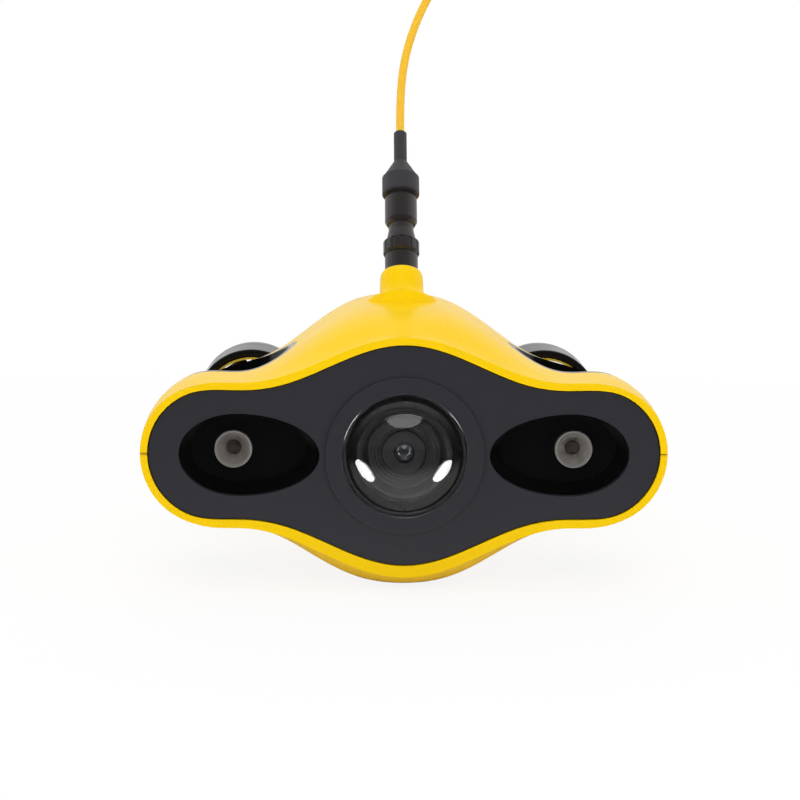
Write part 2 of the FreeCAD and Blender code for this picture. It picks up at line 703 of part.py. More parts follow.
def camera_module():
    """Sensor housing with its lens barrel."""
    barrel_front = HULL_FRONT_Y + HOOD_DEPTH - 4.0
    barrel = cylinder(LENS_BARREL_RADIUS, LENS_BARREL_LENGTH, Vector(0, barrel_front, 0), Y_AXIS)
    body_front = barrel_front + LENS_BARREL_LENGTH - 0.5
    body = box((-13, body_front, -13), (13, body_front + tray_front_y() - body_front, 13))
    bore = cylinder(LENS_RADIUS + FIT, 3.0, Vector(0, barrel_front, 0), Y_AXIS)
    return barrel.fuse(body).cut(bore)


def camera_lens():
    """Front lens element, domed on its outside."""
    seat = HULL_FRONT_Y + HOOD_DEPTH - 4.0 + 2.9
    radius = LENS_RADIUS * 1.3
    ball = Part.makeSphere(radius, Vector(0, seat - 2.4 + radius, 0))
    bar = cylinder(LENS_RADIUS, 10, Vector(0, seat - 10, 0), Y_AXIS)
    return ball.common(bar)


# ---------------------------------------------------------------- pressure hull
def tray_front_y():
    """Front face of the electronics tray."""
    return HULL_FRONT_Y + HULL_NECK_LENGTH + 8.0


def pressure_hull():
    """Sealed tube with a stepped neck for the window."""
    neck = HULL_NECK_LENGTH
    length = HULL_END_Y - HULL_FRONT_Y
    wall = HULL_WALL
    groove_out = WINDOW_FLANGE_RADIUS - 0.3
    groove_in = groove_out - 2 * O_RING_SECTION
    groove = 2 * O_RING_SECTION + 0.05
    profile = [
        (HULL_NECK_BORE, 0.0),
        (groove_in, 0.0),
        (groove_in, groove),
        (groove_out, groove),
        (groove_out, 0.0),
        (HULL_NECK_RADIUS, 0.0),
        (HULL_NECK_RADIUS, neck),
        (HULL_RADIUS, neck + 2.5),
        (HULL_RADIUS, length),
        (HULL_RADIUS - wall, length),
        (HULL_RADIUS - wall, neck + 3.0),
        (HULL_NECK_BORE, neck + 3.0),
    ]
    return revolved(profile, Vector(0, HULL_FRONT_Y, 0), Y_AXIS)


def seal_ring(radius, centre):
    """O-ring about the fore-and-aft axis, its section an octagon."""
    section = O_RING_SECTION - 0.05
    profile = []
    for i in range(8):
        turn = math.pi / 4 * (i + 0.5)
        profile.append((radius + section * math.cos(turn), section * math.sin(turn)))
    return revolved(profile, centre, Y_AXIS)


def window_o_ring():
    """Face seal between the neck and the window flange."""
    groove_out = WINDOW_FLANGE_RADIUS - 0.3
    mid = groove_out - O_RING_SECTION
    y = HULL_FRONT_Y + O_RING_SECTION + 0.05
    return seal_ring(mid, Vector(0, y, 0))


def end_cap():
    """Rear plug of the pressure hull with its seal groove and bosses."""
    bore = HULL_RADIUS - HULL_WALL
    spigot = END_CAP_SPIGOT
    groove = 2 * O_RING_SECTION
    profile = [
        (0.0, 0.0),
        (bore - FIT, 0.0),
        (bore - FIT, 3.0),
        (bore - groove, 3.0),
        (bore - groove, 3.0 + groove),
        (bore - FIT, 3.0 + groove),
        (bore - FIT, spigot),
        (HULL_RADIUS, spigot),
        (HULL_RADIUS, spigot + END_CAP_FLANGE - 1.5),
        (HULL_RADIUS - 1.5, spigot + END_CAP_FLANGE),
        (0.0, spigot + END_CAP_FLANGE),
    ]
    cap = revolved(profile, Vector(0, HULL_END_Y - spigot, 0), Y_AXIS)
    for x, z in gland_places() + [sensor_place()]:
        cap = cap.cut(cylinder(3.0 + FIT, 40, Vector(x, HULL_END_Y - 20, z), Y_AXIS))
    return cap


def cap_o_ring():
    """Radial seal of the rear plug."""
    radius = HULL_RADIUS - HULL_WALL - O_RING_SECTION - 0.05
    y = HULL_END_Y - END_CAP_SPIGOT + 3.0 + O_RING_SECTION
    return seal_ring(radius, Vector(0, y, 0))


def gland_places():
    """Cable glands on the rear plug, as (x, z)."""
    return [(-13.0, 8.0), (13.0, 8.0), (-13.0, -8.0), (13.0, -8.0)]


def sensor_place():
    """Depth sensor on the rear plug, as (x, z)."""
    return (0.0, -17.0)


def hex_head(width, length, base, axis):
    """Hexagonal bar across its flats."""
    corner = width / math.sqrt(3)
    points = []
    for i in range(7):
        turn = math.pi / 3 * i
        points.append(Vector(corner * math.cos(turn), corner * math.sin(turn), 0))
    solid = Part.Face(Part.makePolygon(points)).extrude(Vector(0, 0, length))
    solid.Placement = Placement(base, Rotation(Z_AXIS, axis))
    return solid


def threaded_plug(x, z, nose_radius, nose_length):
    """Hex-headed plug screwed through the rear plug."""
    back = HULL_END_Y + END_CAP_FLANGE
    stem = cylinder(3.0, END_CAP_FLANGE + END_CAP_SPIGOT, Vector(x, back, z), -Y_AXIS)
    head = hex_head(9.0, 4.0, Vector(x, back, z), Y_AXIS)
    nose = cylinder(nose_radius, nose_length, Vector(x, back + 4.0, z), Y_AXIS)
    return stem.fuse([head, nose])


def cable_glands():
    """Group of four cable glands."""
    return Part.makeCompound([threaded_plug(x, z, 2.6, 5.0) for x, z in gland_places()])


def depth_sensor():
    """Depth sensor in the rear plug."""
    x, z = sensor_place()
    return threaded_plug(x, z, 3.4, 2.5)


def electronics_tray():
    """Two discs and a shelf that slide into the hull."""
    radius = HULL_RADIUS - HULL_WALL - 0.3
    front = tray_front_y()
    back = HULL_END_Y - END_CAP_SPIGOT - FIT
    disc_a = cylinder(radius, TRAY_DISC, Vector(0, front, 0), Y_AXIS)
    disc_b = cylinder(radius, TRAY_DISC, Vector(0, back - TRAY_DISC, 0), Y_AXIS)
    shelf = box((-radius + 5, front, 5.0), (radius - 5, back, 5.0 + TRAY_PLATE))
    return disc_a.fuse([disc_b, shelf])


def main_board():
    """Control board with its heat spreader, on the shelf."""
    y = tray_front_y() + 14.0
    bottom = 5.0 + TRAY_PLATE + 0.1
    board = box((-BOARD_WIDTH / 2, y, bottom), (BOARD_WIDTH / 2, y + BOARD_LENGTH, bottom + BOARD_THICKNESS))
    block = box((-10, y + 12, bottom), (10, y + 36, bottom + BOARD_THICKNESS + 5.0))
    socket = box((-16, y + 52, bottom), (16, y + 62, bottom + BOARD_THICKNESS + 6.0))
    return board.fuse([block, socket])


def battery_pack():
    """Three cells in one sleeve under the shelf."""
    y = tray_front_y() + 12.0
    radius = BATTERY_CELL_RADIUS
    top = 5.0 - 0.1
    centre = top - radius
    bars = []
    for x in (-2 * radius, 0.0, 2 * radius):
        bars.append(cylinder(radius, BATTERY_LENGTH, Vector(x, y, centre), Y_AXIS))
    web = box((-2 * radius, y, centre - radius * 0.6), (2 * radius, y + BATTERY_LENGTH, centre + radius * 0.6))
    pack = bars[0].fuse(bars[1:] + [web])
    room = cylinder(HULL_RADIUS - HULL_WALL - 0.3, BODY_LENGTH, Vector(0, FACE_Y, 0), Y_AXIS)
    return pack.common(room)


# ---------------------------------------------------------------- thrusters
class ThrusterPlace:
    """Place and flow direction of one thruster; the local +Z is its intake side."""

    def __init__(self, name, x, y, z, axis):
        self.name = name
        self.placement = Placement(Vector(x, y, z), Rotation(Z_AXIS, axis))

    def put(self, shape):
        """Copy of a local shape at this place."""
        placed = shape.copy()
        placed.Placement = self.placement.multiply(placed.Placement)
        return placed


def thruster_places():
    """The five thrusters of the vehicle."""
    return [
        ThrusterPlace("left_vertical", -WING_DUCT_X, WING_DUCT_Y, 4.0, Z_AXIS),
        ThrusterPlace("right_vertical", WING_DUCT_X, WING_DUCT_Y, 4.0, Z_AXIS),
        ThrusterPlace("tail_vertical", 0.0, TAIL_DUCT_Y, 4.0, Z_AXIS),
        ThrusterPlace("left_horizontal", -NOZZLE_X, NOZZLE_PROP_Y, NOZZLE_Z, -Y_AXIS),
        ThrusterPlace("right_horizontal", NOZZLE_X, NOZZLE_PROP_Y, NOZZLE_Z, -Y_AXIS),
    ]


def strut_spider():
    """Motor cup on radial struts, local to the propeller plane."""
    top = -BELL_LENGTH - 1.0
    length = MOTOR_BASE_LENGTH
    cup = cylinder(MOTOR_RADIUS + 1.4, length, Vector(0, 0, top - length))
    struts = []
    for i in range(STRUT_COUNT):
        arm = box((0, -STRUT_THICKNESS / 2, top - length), (DUCT_BORE + 0.8, STRUT_THICKNESS / 2, top - 1.0))
        arm.rotate(Vector(0, 0, 0), Z_AXIS, 360 / STRUT_COUNT * i + 90)
        struts.append(arm)
    cup = cup.fuse(struts)
    seat = cylinder(MOTOR_RADIUS + 0.1, length - 1.5, Vector(0, 0, top - length + 1.5))
    return cup.cut(seat)


def motor_stator():
    """Motor base, stator stack and fixed shaft."""
    top = -BELL_LENGTH - 1.0
    base = cylinder(MOTOR_RADIUS, MOTOR_BASE_LENGTH - 1.6, Vector(0, 0, top - MOTOR_BASE_LENGTH + 1.6))
    stack = cylinder(STATOR_RADIUS, BELL_LENGTH - 1.5, Vector(0, 0, top))
    shaft = cylinder(SHAFT_RADIUS, BELL_LENGTH + PROP_HUB_LENGTH - 3.0, Vector(0, 0, top))
    return base.fuse([stack, shaft])


def rotor_bell():
    """Rotor cup that turns about the stator."""
    profile = [
        (SHAFT_RADIUS + RUNNING_FIT, -1.4),
        (MOTOR_RADIUS - BELL_WALL - 0.2, -1.4),
        (MOTOR_RADIUS - BELL_WALL, -1.8),
        (MOTOR_RADIUS - BELL_WALL, -BELL_LENGTH - 0.6),
        (MOTOR_RADIUS, -BELL_LENGTH - 0.6),
        (MOTOR_RADIUS, -1.0),
        (MOTOR_RADIUS - 1.0, 0.0),
        (SHAFT_RADIUS + RUNNING_FIT, 0.0),
    ]
    return revolved(profile, Vector(0, 0, 0), Z_AXIS)


def blade_section(radius, chord):
    """Thin lens across a blade at a radius, turned to the local pitch."""
    pitch = math.atan(PROP_PITCH / (2 * math.pi * radius))
    along = Vector(0, math.cos(pitch), math.sin(pitch))
    across = Vector(0, -math.sin(pitch), math.cos(pitch))
    centre = Vector(radius, 0, PROP_HUB_LENGTH / 2)
    head = centre + along * (chord / 2)
    heel = centre - along * (chord / 2)
    camber = BLADE_THICKNESS * 0.9
    back = centre + across * (camber + BLADE_THICKNESS / 2)
    front = centre + across * (camber - BLADE_THICKNESS / 2)
    return Part.Wire([
        Part.Arc(heel, back, head).toShape(),
        Part.Arc(head, front, heel).toShape(),
    ])


def propeller():
    """Three twisted blades on a domed hub."""
    length = PROP_HUB_LENGTH
    hub = cylinder(PROP_HUB_RADIUS, length, Vector(0, 0, 0.15))
    top = [e for e in hub.Edges if e.CenterOfMass.z > length * 0.9 and e.Length > 1]
    hub = hub.makeFillet(PROP_HUB_RADIUS * 0.55, top[:1])
    sections = [
        blade_section(PROP_HUB_RADIUS - 2.0, 8.0),
        blade_section((PROP_HUB_RADIUS + PROP_RADIUS) / 2, 12.5),
        blade_section(PROP_RADIUS + 1.0, 11.0),
    ]
    blade = Part.makeLoft(sections, True, False)
    blade = blade.common(ring(PROP_RADIUS, SHAFT_RADIUS + 2, 40, Vector(0, 0, -15)))
    blades = []
    for i in range(BLADE_COUNT):
        turned = blade.copy()
        turned.rotate(Vector(0, 0, 0), Z_AXIS, 360 / BLADE_COUNT * i)
        blades.append(turned)
    solid = hub.fuse(blades)
    bore = cylinder(SHAFT_RADIUS + RUNNING_FIT, PROP_HUB_LENGTH - 2.0, Vector(0, 0, 0))
    return solid.cut(bore)


def duct_liner(place, outer_body):
    """Upright duct liner, flush with the shells, with its motor struts."""
    span = BODY_WIDTH
    tube = cylinder(LINER_RADIUS, span, Vector(0, 0, -span / 2))
    tube = place.put(tube).common(outer_body)
    bore = place.put(cylinder(DUCT_BORE, span, Vector(0, 0, -span / 2)))
    tube = tube.cut(bore)
    return tube.fuse(place.put(strut_spider()))


def nozzle_profile():
    """Nozzle wall section, local: rounded intake lip, slim outlet."""
    front = NOZZLE_INTAKE
    back = front - NOZZLE_LENGTH
    lip = NOZZLE_LIP
    start = Vector(DUCT_BORE + TRIM_RING_WALL, 0, front - TRIM_RING_DEPTH)
    inner_lip = Vector(DUCT_BORE + TRIM_RING_WALL, 0, front - lip * 0.5)
    crown = Vector((DUCT_BORE + TRIM_RING_WALL + NOZZLE_RADIUS) / 2, 0, front)
    outer_lip = Vector(NOZZLE_RADIUS, 0, front - lip)
    belly = Vector(NOZZLE_RADIUS, 0, front - NOZZLE_LENGTH * 0.45)
    waist = Vector(NOZZLE_RADIUS - 0.5, 0, front - NOZZLE_LENGTH * 0.75)
    outlet = Vector(DUCT_BORE + 1.4, 0, back)
    throat = Vector(DUCT_BORE, 0, back)
    step = Vector(DUCT_BORE, 0, front - TRIM_RING_DEPTH)
    edges = [
        Part.LineSegment(start, inner_lip),
        Part.Arc(inner_lip, crown, outer_lip),
        Part.LineSegment(outer_lip, belly),
        Part.Arc(belly, waist, outlet),
        Part.LineSegment(outlet, throat),
        Part.LineSegment(throat, step),
        Part.LineSegment(step, start),
    ]
    return Part.Wire([e.toShape() for e in edges])


def nozzle(place):
    """Starboard nozzle with its struts and the pylon that the shells clamp."""
    wall = Part.Face(nozzle_profile()).revolve(Vector(0, 0, 0), Z_AXIS, 360)
    solid = place.put(wall).fuse(place.put(strut_spider()))
    bore = place.put(cylinder(DUCT_BORE + 0.5, BODY_LENGTH, Vector(0, 0, -BODY_LENGTH / 2)))
    pylon = pylon_block().cut(bore)
    return solid.fuse(pylon)


def trim_ring():
    """Light ring in the step of a nozzle's intake."""
    outer = DUCT_BORE + TRIM_RING_WALL - RUNNING_FIT
    base = Vector(0, 0, NOZZLE_INTAKE - TRIM_RING_DEPTH)
    return ring(outer, DUCT_BORE, TRIM_RING_DEPTH - 0.4, base)


# ---------------------------------------------------------------- connector
def tether_socket():
    """Socket in the boss: stem with a shoulder flange inside the shell."""
    bore = PLUG_NECK_RADIUS - 0.6
    low = -BOSS_RISE - 6.0
    profile = [
        (0.0, low),
        (SOCKET_RADIUS, low),
        (SOCKET_RADIUS, SOCKET_STEM - 0.4),
        (SOCKET_RADIUS - 0.4, SOCKET_STEM),
        (bore, SOCKET_STEM),
        (bore, SOCKET_STEM - 6.0),
        (0.0, SOCKET_STEM - 6.0),
    ]
    return revolved(profile, on_boss_axis(0), BOSS_AXIS)


def plug_body():
    """Tether plug: contact spigot, neck, body and waist under the boot."""
    base = SOCKET_STEM
    neck_top = base + COLLAR_LENGTH + PLUG_NECK_LENGTH
    body_low = neck_top + 1.6
    body_top = body_low + PLUG_BODY_LENGTH - 1.6
    taper_low = base + COLLAR_LENGTH + 0.2
    profile = [
        (0.0, base - 5.5),
        (PLUG_NECK_RADIUS - 0.75, base - 5.5),
        (PLUG_NECK_RADIUS - 0.75, base + 0.2),
        (PLUG_NECK_RADIUS, base + 0.2),
        (PLUG_NECK_RADIUS, taper_low),
        (COLLAR_RADIUS - 1.2, taper_low),
        (PLUG_NECK_RADIUS + 0.2, taper_low + 4.0),
        (PLUG_NECK_RADIUS, neck_top),
        (PLUG_BODY_RADIUS - 0.7, body_low - 1.2),
        (PLUG_BODY_RADIUS, body_low),
        (PLUG_BODY_RADIUS, body_top),
        (PLUG_BODY_RADIUS - 0.4, body_top + 0.4),
        (PLUG_WAIST_RADIUS, body_top + 0.4),
        (PLUG_WAIST_RADIUS, body_top + 0.4 + PLUG_WAIST_LENGTH),
        (0.0, body_top + 0.4 + PLUG_WAIST_LENGTH),
    ]
    return revolved(profile, on_boss_axis(0), BOSS_AXIS)


def boot_base():
    """Distance of the boot's base from the rim of the boss."""
    neck_top = SOCKET_STEM + COLLAR_LENGTH + PLUG_NECK_LENGTH
    return neck_top + PLUG_BODY_LENGTH + 0.4 + PLUG_WAIST_LENGTH


def locking_collar():
    """Turning collar between socket and plug, with finger flutes."""
    low = SOCKET_STEM + 0.1
    high = low + COLLAR_LENGTH - 0.1
    chamfer = COLLAR_CHAMFER
    inner = PLUG_NECK_RADIUS + RUNNING_FIT
    profile = [
        (inner, low),
        (COLLAR_RADIUS - chamfer, low),
        (COLLAR_RADIUS, low + chamfer),
        (COLLAR_RADIUS, high - chamfer),
        (COLLAR_RADIUS - chamfer, high),
        (inner, high),
    ]
    collar = revolved(profile, Vector(0, 0, 0), Z_AXIS)
    flutes = []
    for i in range(12):
        turn = math.radians(30 * i)
        reach = COLLAR_RADIUS + 0.45
        place = Vector(reach * math.cos(turn), reach * math.sin(turn), low + chamfer)
        flutes.append(cylinder(0.8, COLLAR_LENGTH - 0.1 - 2 * chamfer, place))
    collar = collar.cut(flutes)
    collar.Placement = Placement(on_boss_axis(0), Rotation(Z_AXIS, BOSS_AXIS))
    return collar


def strain_relief():
    """Moulded boot that tapers on to the tether."""
    low = boot_base()
    shoulder = low + BOOT_LENGTH
    cone_top = shoulder + BOOT_CONE_LENGTH
    top = cone_top + BOOT_NECK_LENGTH
    profile = [
        (0.0, low),
        (BOOT_RADIUS - 0.4, low),
        (BOOT_RADIUS, low + 0.4),
        (BOOT_RADIUS, shoulder - 0.5),
        (BOOT_RADIUS - 0.5, shoulder),
        (BOOT_NECK_RADIUS, cone_top),
        (BOOT_NECK_RADIUS, top - 0.5),
        (BOOT_NECK_RADIUS - 0.5, top),
        (0.0, top),
    ]
    return revolved(profile, on_boss_axis(0), BOSS_AXIS)


# ---------------------------------------------------------------- tether
def tether_exit():
    """Point where the tether leaves its strain relief."""
    return on_boss_axis(boot_base() + BOOT_LENGTH + BOOT_CONE_LENGTH + BOOT_NECK_LENGTH)


def tether_points():
    """Route of the tether from the strain relief to its far plug."""
    start = tether_exit()
    return [
        start,
        start + BOSS_AXIS * 16.0,
        start + Vector(2.0, 15.5, 30.0),
        start + Vector(8.0, 20.5, 47.0),
        start + Vector(17.5, 23.5, 63.0),
        start + Vector(28.5, 25.0, 75.5),
    ]


def tether_path(points):
    """Straight runs joined by tangent arcs, and the smallest arc radius."""
    edges = []
    radii = []
    last = points[0]
    for before, corner, after in zip(points, points[1:], points[2:]):
        back = before - corner
        ahead = after - corner
        half_turn = (math.pi - back.getAngle(ahead)) / 2
        setback = 0.45 * min(back.Length, ahead.Length)
        radius = setback / math.tan(half_turn)
        radii.append(radius)
        entry = corner + back.normalize() * setback
        leave = corner + ahead.normalize() * setback
        middle = entry + (leave - entry) * 0.5
        centre_side = (middle - corner).normalize()
        centre = corner + centre_side * (radius / math.cos(half_turn))
        crown = centre - centre_side * radius
        edges.append(Part.LineSegment(last, entry).toShape())
        edges.append(Part.Arc(entry, crown, leave).toShape())
        last = leave
    edges.append(Part.LineSegment(last, points[-1]).toShape())
    return Part.Wire(edges), radii


def tether():
    """Tether as a round bar along its path."""
    path, radii = tether_path(tether_points())
    circle = Part.makeCircle(TETHER_DIAMETER / 2, tether_exit(), BOSS_AXIS)
    tube = path.makePipeShell([Part.Wire([circle])], True, False)
    section = math.pi * TETHER_DIAMETER**2 / 4
    print("tether radii", [round(r, 1) for r in radii], "least allowed", TETHER_BEND_LIMIT)
    print("tether length", round(path.Length, 1), "volume share", round(tube.Volume / section / path.Length, 4))
    return tube


def far_axis():
    """Direction in which the tether enters its far plug."""
    points = tether_points()
    return (points[-1] - points[-2]).normalize()


def far_plug():
    """Plug on the far end of the tether: boot, grip and contact spigot."""
    profile = [
        (0.0, 0.0),
        (FAR_BOOT_RADIUS, 0.0),
        (FAR_BOOT_RADIUS, FAR_BOOT_LENGTH * 0.5),
        (FAR_PLUG_RADIUS - 1.2, FAR_BOOT_LENGTH - 1.0),
        (FAR_PLUG_RADIUS, FAR_BOOT_LENGTH),
        (FAR_PLUG_RADIUS, FAR_BOOT_LENGTH + FAR_PLUG_LENGTH - 0.6),
        (FAR_PLUG_RADIUS - 0.6, FAR_BOOT_LENGTH + FAR_PLUG_LENGTH),
        (FAR_PLUG_PIN_RADIUS, FAR_BOOT_LENGTH + FAR_PLUG_LENGTH),
        (FAR_PLUG_PIN_RADIUS, FAR_BOOT_LENGTH + FAR_PLUG_LENGTH + FAR_PLUG_PIN_LENGTH),
        (0.0, FAR_BOOT_LENGTH + FAR_PLUG_LENGTH + FAR_PLUG_PIN_LENGTH),
    ]
    return revolved(profile, tether_points()[-1], far_axis())


# ---------------------------------------------------------------- small parts
def shell_screws():
    """Group of six cap screws driven from below."""
    screws = []
    for x, y in screw_places():
        seat = SCREW_SEAT_Z
        shank = cylinder(SCREW_RADIUS - 0.15, SCREW_LENGTH - 0.5, Vector(x, y, seat))
        head = cylinder(SCREW_HEAD_RADIUS, SCREW_HEAD_HEIGHT, Vector(x, y, seat - SCREW_HEAD_HEIGHT))
        socket = hex_head(2.5, 1.2, Vector(x, y, seat - SCREW_HEAD_HEIGHT), Z_AXIS)
        screws.append(shank.fuse(head).cut(socket))
    return Part.makeCompound(screws)


def foot_pads():
    """Group of four rubber pads in the keel."""
    pads = []
    for low, high in pad_boxes():
        pad = box(low, high)
        upright = [e for e in pad.Edges if abs(e.Vertexes[0].Z - e.Vertexes[1].Z) > PAD_PROUD / 2]
        pads.append(pad.makeFillet(PAD_WIDTH * 0.45, upright))
    return Part.makeCompound(pads)


def ballast_bars():
    """Group of two steel bars on the keel."""
    return Part.makeCompound([box(low, high) for low, high in ballast_boxes()])


def export(name, shape):
    """Write one sub-part, lifted so that the pads stand on z = 0."""
    placed = shape.copy()
    placed.translate(Vector(0, 0, REST_DEPTH))
    placed.exportStep(os.path.join("parts", name + ".step"))


def thruster_parts(outer_body):
    """All nodes of the five thrusters by name."""
    parts = {}
    stator, bell, prop = motor_stator(), rotor_bell(), propeller()
    for place in thruster_places():
        parts[place.name + "_stator"] = place.put(stator)
        parts[place.name + "_rotor"] = place.put(bell)
        parts[place.name + "_propeller"] = place.put(prop)
        if place.name.endswith("vertical"):
            parts[place.name + "_liner"] = duct_liner(place, outer_body)
        else:
            parts[place.name + "_trim_ring"] = place.put(trim_ring())
    right = thruster_places()[-1]
    parts["right_nozzle"] = nozzle(right)
    parts["left_nozzle"] = mirrored(parts["right_nozzle"])
    return parts


def main():
    """Build every sub-part and write it to parts/."""
    os.makedirs("parts", exist_ok=True)
    outer_body = outer_half(1).fuse(outer_half(-1))
    parts = {
        "upper_shell": upper_shell(),
        "lower_shell": lower_shell(),
        "face_plate": face_plate(),
        "camera_window": camera_window(),
        "notch_ring": notch_ring(),
        "camera_hood": camera_hood(),
        "camera_module": camera_module(),
        "camera_lens": camera_lens(),
        "pressure_hull": pressure_hull(),
        "window_o_ring": window_o_ring(),
        "end_cap": end_cap(),
        "cap_o_ring": cap_o_ring(),
        "cable_glands": cable_glands(),
        "depth_sensor": depth_sensor(),
        "electronics_tray": electronics_tray(),
        "main_board": main_board(),
        "battery_pack": battery_pack(),
        "tether_socket": tether_socket(),
        "locking_collar": locking_collar(),
        "plug_body": plug_body(),
        "strain_relief": strain_relief(),
        "tether": tether(),
        "far_plug": far_plug(),
        "shell_screws": shell_screws(),
        "foot_pads": foot_pads(),
        "ballast_bars": ballast_bars(),
    }
    for side_part in (light_cup, reflector, led_board, led_lens):
        shape = side_part()
        parts["right_" + side_part.__name__] = shape
        parts["left_" + side_part.__name__] = mirrored(shape)
    parts.update(thruster_parts(outer_body))
    for name, shape in parts.items():
        export(name, shape)


main()
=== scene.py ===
"""Looks of a compact five-thruster inspection ROV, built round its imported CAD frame.

The hull, face plate, thrusters, connector and inner pieces come from the frame
and get their finishes here. The tether, the light emitters, the lens baffle,
the propeller screws and the foot pad treads are modelled here.
"""
import logging
import math
from contextlib import contextmanager
from dataclasses import dataclass
from enum import Enum
from typing import Callable, Iterator, Sequence

import bmesh
import bpy
from mathutils import Matrix, Quaternion, Vector


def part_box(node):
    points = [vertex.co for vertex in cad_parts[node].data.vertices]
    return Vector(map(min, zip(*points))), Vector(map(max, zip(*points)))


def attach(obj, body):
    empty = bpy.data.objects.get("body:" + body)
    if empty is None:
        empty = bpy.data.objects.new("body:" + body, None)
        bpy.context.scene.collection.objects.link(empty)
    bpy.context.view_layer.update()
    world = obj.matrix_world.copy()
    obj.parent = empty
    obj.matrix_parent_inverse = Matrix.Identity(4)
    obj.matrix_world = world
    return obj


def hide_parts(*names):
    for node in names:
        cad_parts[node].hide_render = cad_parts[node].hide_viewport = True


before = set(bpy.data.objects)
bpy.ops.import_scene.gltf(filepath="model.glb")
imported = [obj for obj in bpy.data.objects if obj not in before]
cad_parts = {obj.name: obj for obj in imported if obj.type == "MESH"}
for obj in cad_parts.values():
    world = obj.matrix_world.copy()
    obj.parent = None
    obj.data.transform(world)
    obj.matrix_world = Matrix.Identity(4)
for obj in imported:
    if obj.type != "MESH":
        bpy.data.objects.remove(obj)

LOG = logging.getLogger("rov")
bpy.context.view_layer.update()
MM = 0.001
SQUARE = 0.9  # least part of a normal along an axis that counts as facing it
UPRIGHT = math.radians(90.0)
WELD = 1e-6  # corners closer than this become one, in metres

Rgb = tuple[float, float, float]
Place = tuple[float, float, float]
Socket = bpy.types.NodeSocket
Piece = bpy.types.Object
WHITE: Rgb = (1.0, 1.0, 1.0)


# -------------------- options
class Side(Enum):
    """Left (-X) or right (+X) of the vehicle."""

    LEFT = -1
    RIGHT = 1

    @property
    def word(self) -> str:
        """Name of the side as the frame's nodes have it."""
        return self.name.lower()


class Flow(Enum):
    """Direction in which a thruster draws its water in."""

    UP = "vertical"
    AHEAD = "horizontal"


class Slot(Enum):
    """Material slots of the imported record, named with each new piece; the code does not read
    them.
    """

    SATIN = "satin_black"
    RUBBER = "moulded_rubber"
    JACKET = "tether_jacket"
    STEEL = "steel"
    BOARD = "board_green"


# -------------------- node trees
class Sheet:
    """Adds and links the nodes of one tree."""

    def __init__(self, tree: bpy.types.NodeTree) -> None:
        """Wrap a node tree.

        Args:
            tree: The tree that the nodes go into.
        """
        self.tree = tree

    def node(self, kind: str, values: dict | None = None, **settings: object) -> bpy.types.Node:
        """Add a node and set its inputs.

        Args:
            kind: Blender's type name of the node.
            values: Input name or index to a constant or to an output socket.
            settings: Properties of the node itself.

        Returns:
            The new node.
        """
        made = self.tree.nodes.new(kind)
        for name, value in settings.items():
            setattr(made, name, value)
        for key, value in (values or {}).items():
            self.feed(made.inputs[key], value)
        return made

    def feed(self, socket: Socket, value: object) -> None:
        """Link an output to an input, or set the input's constant.

        Args:
            socket: The input.
            value: Output socket, number, vector or colour.
        """
        if isinstance(value, Socket):
            self.tree.links.new(value, socket)
        elif socket.type == "RGBA" and len(value) == 3:
            socket.default_value = (*value, 1.0)
        else:
            socket.default_value = value

    def math(self, how: str, first: object, second: object = 0.0) -> Socket:
        """Put a Math node on two numbers or sockets.

        Args:
            how: The node's operation.
            first: First number or socket.
            second: Second number or socket.

        Returns:
            The result.
        """
        made = self.node("ShaderNodeMath", {0: first, 1: second}, operation=how)
        return made.outputs[0]

    def between(self, value: object, low: float, high: float) -> Socket:
        """Put a smooth step over a value.

        Args:
            value: Number or socket.
            low: Where the step is 0.
            high: Where the step is 1.

        Returns:
            The step, 0 to 1.
        """
        made = self.node(
            "ShaderNodeMapRange",
            {"Value": value, "From Min": low, "From Max": high},
            interpolation_type="SMOOTHSTEP",
        )
        return made.outputs["Result"]

    def mix(self, share: object, first: object, second: object) -> Socket:
        """Mix two colours.

        Args:
            share: Share of the second colour, 0 to 1.
            first: Colour or socket at 0.
            second: Colour or socket at 1.

        Returns:
            The mixed colour.
        """
        made = self.node("ShaderNodeMix", data_type="RGBA")
        self.feed(made.inputs[0], share)
        self.feed(made.inputs[6], first)
        self.feed(made.inputs[7], second)
        return made.outputs[2]

    def noise(self, vector: object, scale: object, detail: float = 2.0) -> Socket:
        """Put a noise texture at a place.

        Args:
            vector: The place.
            scale: How many features go to a metre.
            detail: How many finer layers it has.

        Returns:
            The noise, 0 to 1.
        """
        values = {"Vector": vector, "Scale": scale, "Detail": detail}
        return self.node("ShaderNodeTexNoise", values).outputs["Fac"]


def effect(
    name: str, takes: dict[str, tuple[str, object]], gives: dict[str, str]
) -> tuple[Sheet, dict[str, Socket], dict[str, Socket], bool]:
    """Make the shell of a shared shader node group.

    Args:
        name: Name of the group.
        takes: Input name to socket type word and default.
        gives: Output name to socket type word.

    Returns:
        The group's sheet, its inputs and outputs by name, and whether it is new.
    """
    kinds = {"value": "NodeSocketFloat", "colour": "NodeSocketColor", "vector": "NodeSocketVector"}
    tree = bpy.data.node_groups.get(name)
    if tree is not None:
        return Sheet(tree), {}, {}, False
    tree = bpy.data.node_groups.new(name, "ShaderNodeTree")
    for word, (kind, default) in takes.items():
        made = tree.interface.new_socket(word, in_out="INPUT", socket_type=kinds[kind])
        if default is not None:
            made.default_value = default
    for word, kind in gives.items():
        tree.interface.new_socket(word, in_out="OUTPUT", socket_type=kinds[kind])
    sheet = Sheet(tree)
    source = sheet.node("NodeGroupInput")
    target = sheet.node("NodeGroupOutput")
    return sheet, {s.name: s for s in source.outputs}, {s.name: s for s in target.inputs}, True


